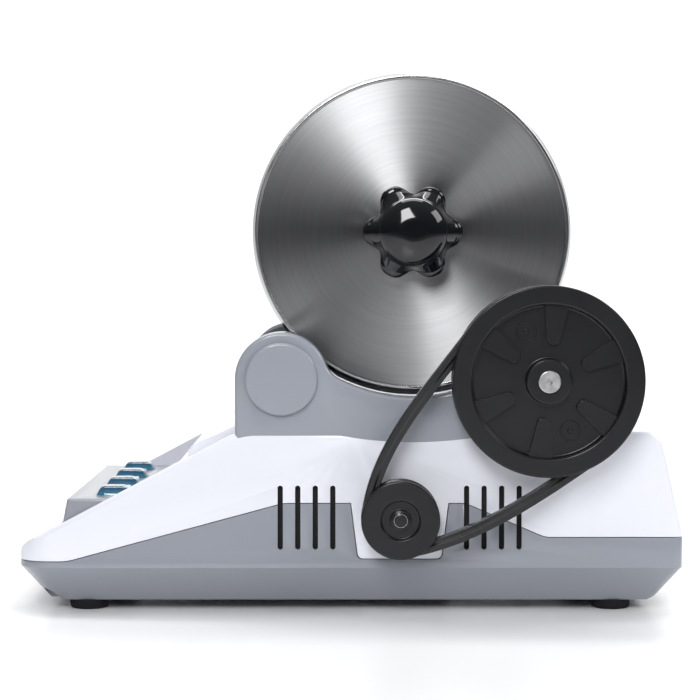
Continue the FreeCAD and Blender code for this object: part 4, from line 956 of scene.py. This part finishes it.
# Keys. Four caps moulded in clear blue plastic, with leaning sides, a round shoulder and a flat
# polished top. A flange under the hood keeps each one in, and its stem presses a switch.
def blue_gel():
    """Clear blue plastic, its colour painted with light and shade: a painted dark band round the shoulder and
    a painted glow lower down, in place of light bent through the plastic.
    """
    material, tree, bsdf = new_material("Clear blue plastic")
    place = own_place(tree)
    # The share of painted light stored on the points lightens or darkens the blue.
    painted_share = add_node(tree, "ShaderNodeAttribute", {}, attribute_name="painted_light").outputs["Fac"]
    cloud = reckon(tree, "MULTIPLY_ADD", noise(tree, place, 260.0, 3.0), 0.3, painted_share)
    feed(bsdf, {
        "Base Color": two_tone(tree, cloud, (0.003, 0.026, 0.080), (0.085, 0.330, 0.520)),
        "Roughness": spread(tree, noise(tree, place, 90.0, 4.0), 0.04, 0.10),
        "Transmission Weight": 0.35,
        "IOR": 1.49,
        "Coat Weight": 0.6,
    })
    return material


hood_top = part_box("control_panel")[1].z
key_low, key_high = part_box("button_1")
key_base, key_foot, key_top = hood_top - 2.4 * MM, hood_top + 0.2 * MM, key_high.z
key_flange, flange_height = 1.2 * MM, 1.0 * MM
key_half_x = (key_high.x - key_low.x) / 2 - key_flange
key_half_y = (key_high.y - key_low.y) / 2 - key_flange
key_corner = 4.0 * MM
key_lean, key_shoulder = math.radians(30), 3.0 * MM
stem_radius, stem_top = 2.0 * MM, key_base - 0.8 * MM
blue_plastic = blue_gel()


def key_levels(side_steps=4, shoulder_steps=7, top_steps=6):
    """Height, growth and share of painted light of each ring: flange, leaning side, shoulder, flat top."""
    # Painted light and shade: a painted glow at the foot that fades up the side, a painted dark band round
    # the shoulder, lighter again under the top edge and on the top.
    hidden, foot_glow, fade, shoulder_shade, brow, top = 0.3, 0.75, 0.12, 0.05, 0.3, 0.45
    side_top = key_top - key_shoulder * (1 - math.sin(key_lean))
    inset = (side_top - key_foot) * math.tan(key_lean)
    levels = [
        (key_base - flange_height, key_flange, hidden),
        (key_base, key_flange, hidden),
        (key_base, 0.0, hidden),
        (key_foot, 0.0, foot_glow),
    ]
    for i in range(1, side_steps + 1):
        share = i / side_steps
        levels.append((key_foot + (side_top - key_foot) * share, -inset * share, foot_glow - fade * i))
    for i in range(1, shoulder_steps + 1):
        angle = key_lean + (math.pi / 2 - key_lean) * i / shoulder_steps
        levels.append((
            side_top + key_shoulder * (math.sin(angle) - math.sin(key_lean)),
            -inset - key_shoulder * (math.cos(key_lean) - math.cos(angle)),
            shoulder_shade if i < shoulder_steps - 1 else brow,
        ))
    edge = inset + key_shoulder * math.cos(key_lean)
    for i in range(1, top_steps):
        levels.append((key_top, -edge - (key_half_x - edge) * i / top_steps, top))
    return levels


def key_ring(work, x, y, level, steps=12):
    """Ring of points round a rectangle with rounded corners, each with its share of painted light."""
    z, grow, painted_light = level
    smallest_half, smallest_corner, corner_follow, fullest = 0.2 * MM, 0.15 * MM, 0.6, 0.98
    half_x = max(key_half_x + grow, smallest_half)
    half_y = max(key_half_y + grow * min(1.0, key_half_y / key_half_x), smallest_half)
    corner = max(key_corner + corner_follow * grow, smallest_corner)
    corner = min(corner, half_x * fullest, half_y * fullest)
    layer = work.verts.layers.float["painted_light"]
    ring = []
    for k, (side_x, side_y) in enumerate(((1, 1), (-1, 1), (-1, -1), (1, -1))):
        for i in range(steps + 1):
            angle = math.pi / 2 * (k + i / steps)
            point = work.verts.new((
                x + side_x * (half_x - corner) + corner * math.cos(angle),
                y + side_y * (half_y - corner) + corner * math.sin(angle),
                z,
            ))
            point[layer] = painted_light
            ring.append(point)
    return ring


def key_mesh(x, y, stem_low):
    """A key cap with its flange, and the stem under it."""
    work = bmesh.new()
    work.verts.layers.float.new("painted_light")
    rings = [key_ring(work, x, y, level) for level in key_levels()]
    for low_ring, high_ring in zip(rings, rings[1:]):
        for i in range(len(low_ring)):
            j = (i + 1) % len(low_ring)
            work.faces.new([low_ring[i], low_ring[j], high_ring[j], high_ring[i]])
    work.faces.new(rings[-1])
    work.faces.new(list(reversed(rings[0])))
    add_upright(work, rounded_profile([
        (0.0, stem_low, 0), (stem_radius, stem_low, 0.3 * MM), (stem_radius, stem_top, 0), (0.0, stem_top, 0),
    ]), (x, y, 0), 32)
    return finish_mesh(work)


for number in range(1, 5):
    node = "button_%d" % number
    low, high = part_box(node)
    cap = key_mesh((low.x + high.x) / 2, (low.y + high.y) / 2, low.z)
    add_piece("key_cap_%d" % number, cap, blue_plastic, "key_%d" % number, "blue_plastic", node)

# Drum. A deep drawn stainless cup with a flanged mouth, brushed round its axis. Two lugs are
# welded inside the mouth, and a bar behind them takes the stud of the lid.
drum_x, drum_z, drum_mouth, drum_end, flange_radius = round_place("drum_shell")
drum_axis = (drum_x, drum_z)
drum_radius = flange_radius - 2.7 * MM
sheet = 1.5 * MM
drum_section = rounded_profile([
    (0.0, drum_end, 0),
    (drum_radius, drum_end, 6.0 * MM),
    (drum_radius, drum_mouth + sheet, 0.8 * MM),
    (flange_radius, drum_mouth + sheet, 0.4 * MM),
    (flange_radius, drum_mouth, 0.4 * MM),
    (drum_radius - sheet, drum_mouth, 1.0 * MM),
    (drum_radius - sheet, drum_end - sheet, 4.5 * MM),
    (0.0, drum_end - sheet, 0),
], steps=8)
drawn_steel = turned_metal(
    "Brushed stainless", (0.44, 0.442, 0.448), (0.52, 0.522, 0.528), rough=0.36, rub=0.02, axis=drum_axis,
    lines=2400.0, depth=0.006 * MM, stretch=0.85,
)
add_lathed(
    "drum_cup", drum_section, drum_axis, 192, drawn_steel, "drum", "drawn_steel", "drum_shell", mapped=True
)
pressed_steel = turned_metal(
    "Pressed steel", (0.42, 0.42, 0.43), (0.55, 0.55, 0.56), rough=0.34, rub=0.05, axis=drum_axis,
    lines=1200.0, depth=0.01 * MM,
)
show_finish(pressed_steel, "clamp_lugs", "clamp_bar")
show_finish(black_rubber, "lid_gasket")

# Lid. Spun from stainless sheet. The lathe leaves fine rings on its face, which stretch every light
# into a fan; the rolled rim, its cone and the skirt over the drum's mouth are polished.
lid_front, lid_back, lid_radius = round_place("drum_lid")[2:]
stud_hole = 4.2 * MM
boss_face, boss_radius, boss_foot = lid_front + 0.2 * MM, 14.0 * MM, 15.0 * MM
lid_face, lid_inside = lid_front + 0.6 * MM, lid_front + 2.1 * MM
bead_bore = lid_radius - 3.2 * MM
cone_top, cone_end = lid_radius - 1.35 * MM, lid_front + 3.7 * MM
skirt_bore, skirt_inside = lid_radius - sheet, lid_front + 4.2 * MM
lid_section = rounded_profile([
    (stud_hole, boss_face, 0.2 * MM),
    (boss_radius, boss_face, 0.5 * MM),
    (boss_foot, lid_face, 0.5 * MM),
    (bead_bore, lid_face, 0),
    (bead_bore, lid_inside, 0),
    (stud_hole, lid_inside, 0),
], steps=6)
bead_section = rounded_profile([
    (bead_bore, lid_face, 0),
    (bead_bore + 0.5 * MM, lid_front, 0.3 * MM),
    (cone_top, lid_front, 0.5 * MM),
    (lid_radius, cone_end, 0.8 * MM),
    (lid_radius, lid_back, 0.5 * MM),
    (skirt_bore, lid_back, 0.5 * MM),
    (skirt_bore, skirt_inside, 0.6 * MM),
    (bead_bore, lid_inside, 0),
], steps=6)
spun_steel = turned_metal(
    "Spun stainless", (0.298, 0.300, 0.307), (0.328, 0.330, 0.337), rough=0.39, rub=0.015, axis=drum_axis,
    lines=5200.0, depth=0.003 * MM, stretch=1.0,
)
add_lathed(
    "spun_lid", lid_section, drum_axis, 256, spun_steel, "drum", "spun_steel", "drum_lid", mapped=True
)
polished_rim = turned_metal(
    "Polished stainless", (0.50, 0.504, 0.512), (0.56, 0.564, 0.572), rough=0.16, rub=0.03, axis=drum_axis,
    lines=1500.0, depth=0.002 * MM,
)
add_lathed("lid_rim", bead_section, drum_axis, 256, polished_rim, "drum", "spun_steel")

# Star knob. Polished black phenolic with six lobes round a domed middle, moulded over a brass
# insert that turns on the stud and draws the lid down.
knob_front, knob_back = round_place("star_knob")[2:4]
lobes, tip_radius, valley_radius, lobe_fullness = 6, 22.5 * MM, 17.3 * MM, 1.6
dome_reach, dome_drop, dome_fullness = 16.9 * MM, 14.0 * MM, 3.1
lobe_start = math.radians(61)
valley_drop, tip_lift = 11.5 * MM, 2.2 * MM
round_share, smallest_round, front_round, back_round = 0.45, 0.3 * MM, 2.2 * MM, 1.5 * MM
knob_skirt = knob_back - 4.0 * MM
hub_reach, hub_fillet, hub_edge, insert_radius = 12.4 * MM, 1.0 * MM, 0.4 * MM, 6.6 * MM


def knob_reach(angle):
    """Radius of the star at an angle: six broad lobes with narrower hollows between them."""
    wave = 1.0 - (0.5 - 0.5 * math.cos(lobes * angle)) ** lobe_fullness
    return valley_radius + (tip_radius - valley_radius) * wave


def knob_mesh(turns=180, dome_steps=20, front_steps=8, back_steps=6):
    """Rings of points from the tip of the dome over the lobes and back to the hub."""
    work = bmesh.new()
    rings = []

    def add_ring(place_at):
        ring = []
        for k in range(turns):
            angle = 2 * math.pi * k / turns
            r, y = place_at(angle)
            ring.append(work.verts.new((drum_x + r * math.cos(angle), y, drum_z + r * math.sin(angle))))
        rings.append(ring)

    def edge(angle):
        return min(front_round, max(smallest_round, round_share * (knob_reach(angle) - dome_reach)))

    def lobe_y(angle):
        out = (knob_reach(angle) - valley_radius) / (tip_radius - valley_radius)
        return knob_front + valley_drop - tip_lift * out

    for i in range(1, dome_steps + 1):
        turn = lobe_start * i / dome_steps
        r = dome_reach * math.sin(turn) ** (2 / dome_fullness)
        y = knob_front + dome_drop * (1 - math.cos(turn) ** (2 / dome_fullness))
        add_ring(lambda a: (r, y))
    for share in (0.2, 0.4, 0.6, 0.8):
        add_ring(lambda a: (r + (knob_reach(a) - edge(a) - r) * share, y + (lobe_y(a) - y) * share))
    for i in range(front_steps + 1):
        sin, cos = math.sin(math.pi / 2 * i / front_steps), math.cos(math.pi / 2 * i / front_steps)
        add_ring(lambda a: (knob_reach(a) - edge(a) * (1 - sin), lobe_y(a) + edge(a) * (1 - cos)))
    for i in range(back_steps + 1):
        sin, cos = math.sin(math.pi / 2 * i / back_steps), math.cos(math.pi / 2 * i / back_steps)
        add_ring(lambda a: (knob_reach(a) - back_round * (1 - cos), knob_skirt - back_round * (1 - sin)))
    for place in (
        (hub_reach + hub_fillet, knob_skirt),
        (hub_reach, knob_skirt + hub_fillet),
        (hub_reach, knob_back - hub_edge),
        (hub_reach - hub_edge, knob_back),
        (insert_radius, knob_back),
    ):
        add_ring(lambda a: place)
    tip = work.verts.new((drum_x, knob_front, drum_z))
    for k in range(turns):
        j = (k + 1) % turns
        work.faces.new([tip, rings[0][k], rings[0][j]])
        for near, far in zip(rings, rings[1:]):
            work.faces.new([near[k], far[k], far[j], near[j]])
    work.faces.new(rings[-1])
    return finish_mesh(work, math.radians(50))


polished_phenolic = moulded_plastic(
    "Polished black phenolic", (0.0040, 0.0045, 0.0058), drift=0.15, rough=0.08, rub=0.02, grain=600.0,
    depth=0.002 * MM, coat=0.25,
)
add_piece("lobed_knob", knob_mesh(), polished_phenolic, "knob", "knob_plastic", "star_knob")

# Studio. A pale paper floor that sweeps up behind the machine. Softboxes stand left and right of the
# camera and hang overhead, with a fill and a wash on the paper behind; the camera faces the belt.
def sweep_mesh(front, back, half_width, bend, height, steps=24):
    """Floor and backdrop in one sheet, joined by a wide curve."""
    line = [(front, 0.0), (back - bend, 0.0)]
    for i in range(1, steps + 1):
        angle = math.pi / 2 * i / steps
        line.append((back - bend + bend * math.sin(angle), bend - bend * math.cos(angle)))
    line.append((back, height))
    points = [(x, y, z) for y, z in line for x in (-half_width, half_width)]
    faces = [(2 * i, 2 * i + 1, 2 * i + 3, 2 * i + 2) for i in range(len(line) - 1)]
    mesh = bpy.data.meshes.new("studio_sweep")
    mesh.from_pydata(points, [], faces)
    for polygon in mesh.polygons:
        polygon.use_smooth = True
    return mesh


def studio_paper():
    """Matt white paper with a slow drift of tone."""
    material, tree, bsdf = new_material("Studio paper")
    cloud = noise(tree, own_place(tree), 3.0, 2.0)
    feed(bsdf, {
        "Base Color": two_tone(tree, cloud, (0.88, 0.88, 0.885), (0.90, 0.90, 0.905)), "Roughness": 0.30,
    })
    return material


sweep = linked("studio_sweep", sweep_mesh(front=-6.0, back=2.2, half_width=6.0, bend=0.9, height=4.0))
sweep.data.materials.append(studio_paper())


def studio_world():
    """Dim walls under a paler ceiling."""
    world = bpy.data.worlds.new("Studio")
    world.use_nodes = True
    tree = world.node_tree
    around = tree.nodes.new("ShaderNodeTexCoord").outputs["Generated"]
    height = add_node(tree, "ShaderNodeSeparateXYZ", {"Vector": around}).outputs["Z"]
    rise = spread(tree, height, 0.06, 0.30, start=0.1, end=0.9)
    feed(tree.nodes["Background"], {"Color": (0.95, 0.97, 1.0, 1.0), "Strength": rise})
    return world


bpy.context.scene.world = studio_world()


def softbox(name, place, target, size, power, turn=0.0):
    """Rectangular soft light aimed at a point, turned about its own axis by some degrees."""
    light = bpy.data.lights.new(name, "AREA")
    light.shape = "RECTANGLE"
    light.size, light.size_y = size
    light.energy = power
    lamp = linked(name, light)
    lamp.location = place
    aimed = (Vector(target) - Vector(place)).to_track_quat("-Z", "Y").to_matrix()
    lamp.rotation_euler = (aimed @ Matrix.Rotation(math.radians(turn), 3, "Z")).to_euler()


aim, paper_foot = (0.0, 0.0, 0.12), (0.0, 2.2, 0.5)
softbox("left_box", (-0.234, -1.611, 0.979), aim, size=(0.45, 1.0), power=18.5, turn=20)
softbox("right_box", (1.322, -0.617, 1.044), aim, size=(0.65, 1.1), power=10.0, turn=-76)
softbox("overhead", (0.0, 0.25, 1.9), aim, size=(1.2, 0.9), power=12.5)
softbox("back_fill", (0.5, 1.7, 1.3), aim, size=(0.8, 1.0), power=8.0)
softbox("backdrop_wash", (0.0, 0.7, 2.3), paper_foot, size=(3.0, 0.6), power=44.0)

camera_distance, camera_height, camera_tilt = 1.03475, 0.160, math.radians(2.436)
camera = bpy.data.cameras.new("camera")
camera.sensor_width = 36.0
camera.lens = 110.0
camera.clip_start = 0.02
eye = linked("camera", camera)
eye.location = (0.0, -camera_distance, camera_height)
eye.rotation_euler = (math.pi / 2 - camera_tilt, 0.0, 0.0)
bpy.context.scene.camera = eye
bpy.context.scene.view_settings.view_transform = "Standard"
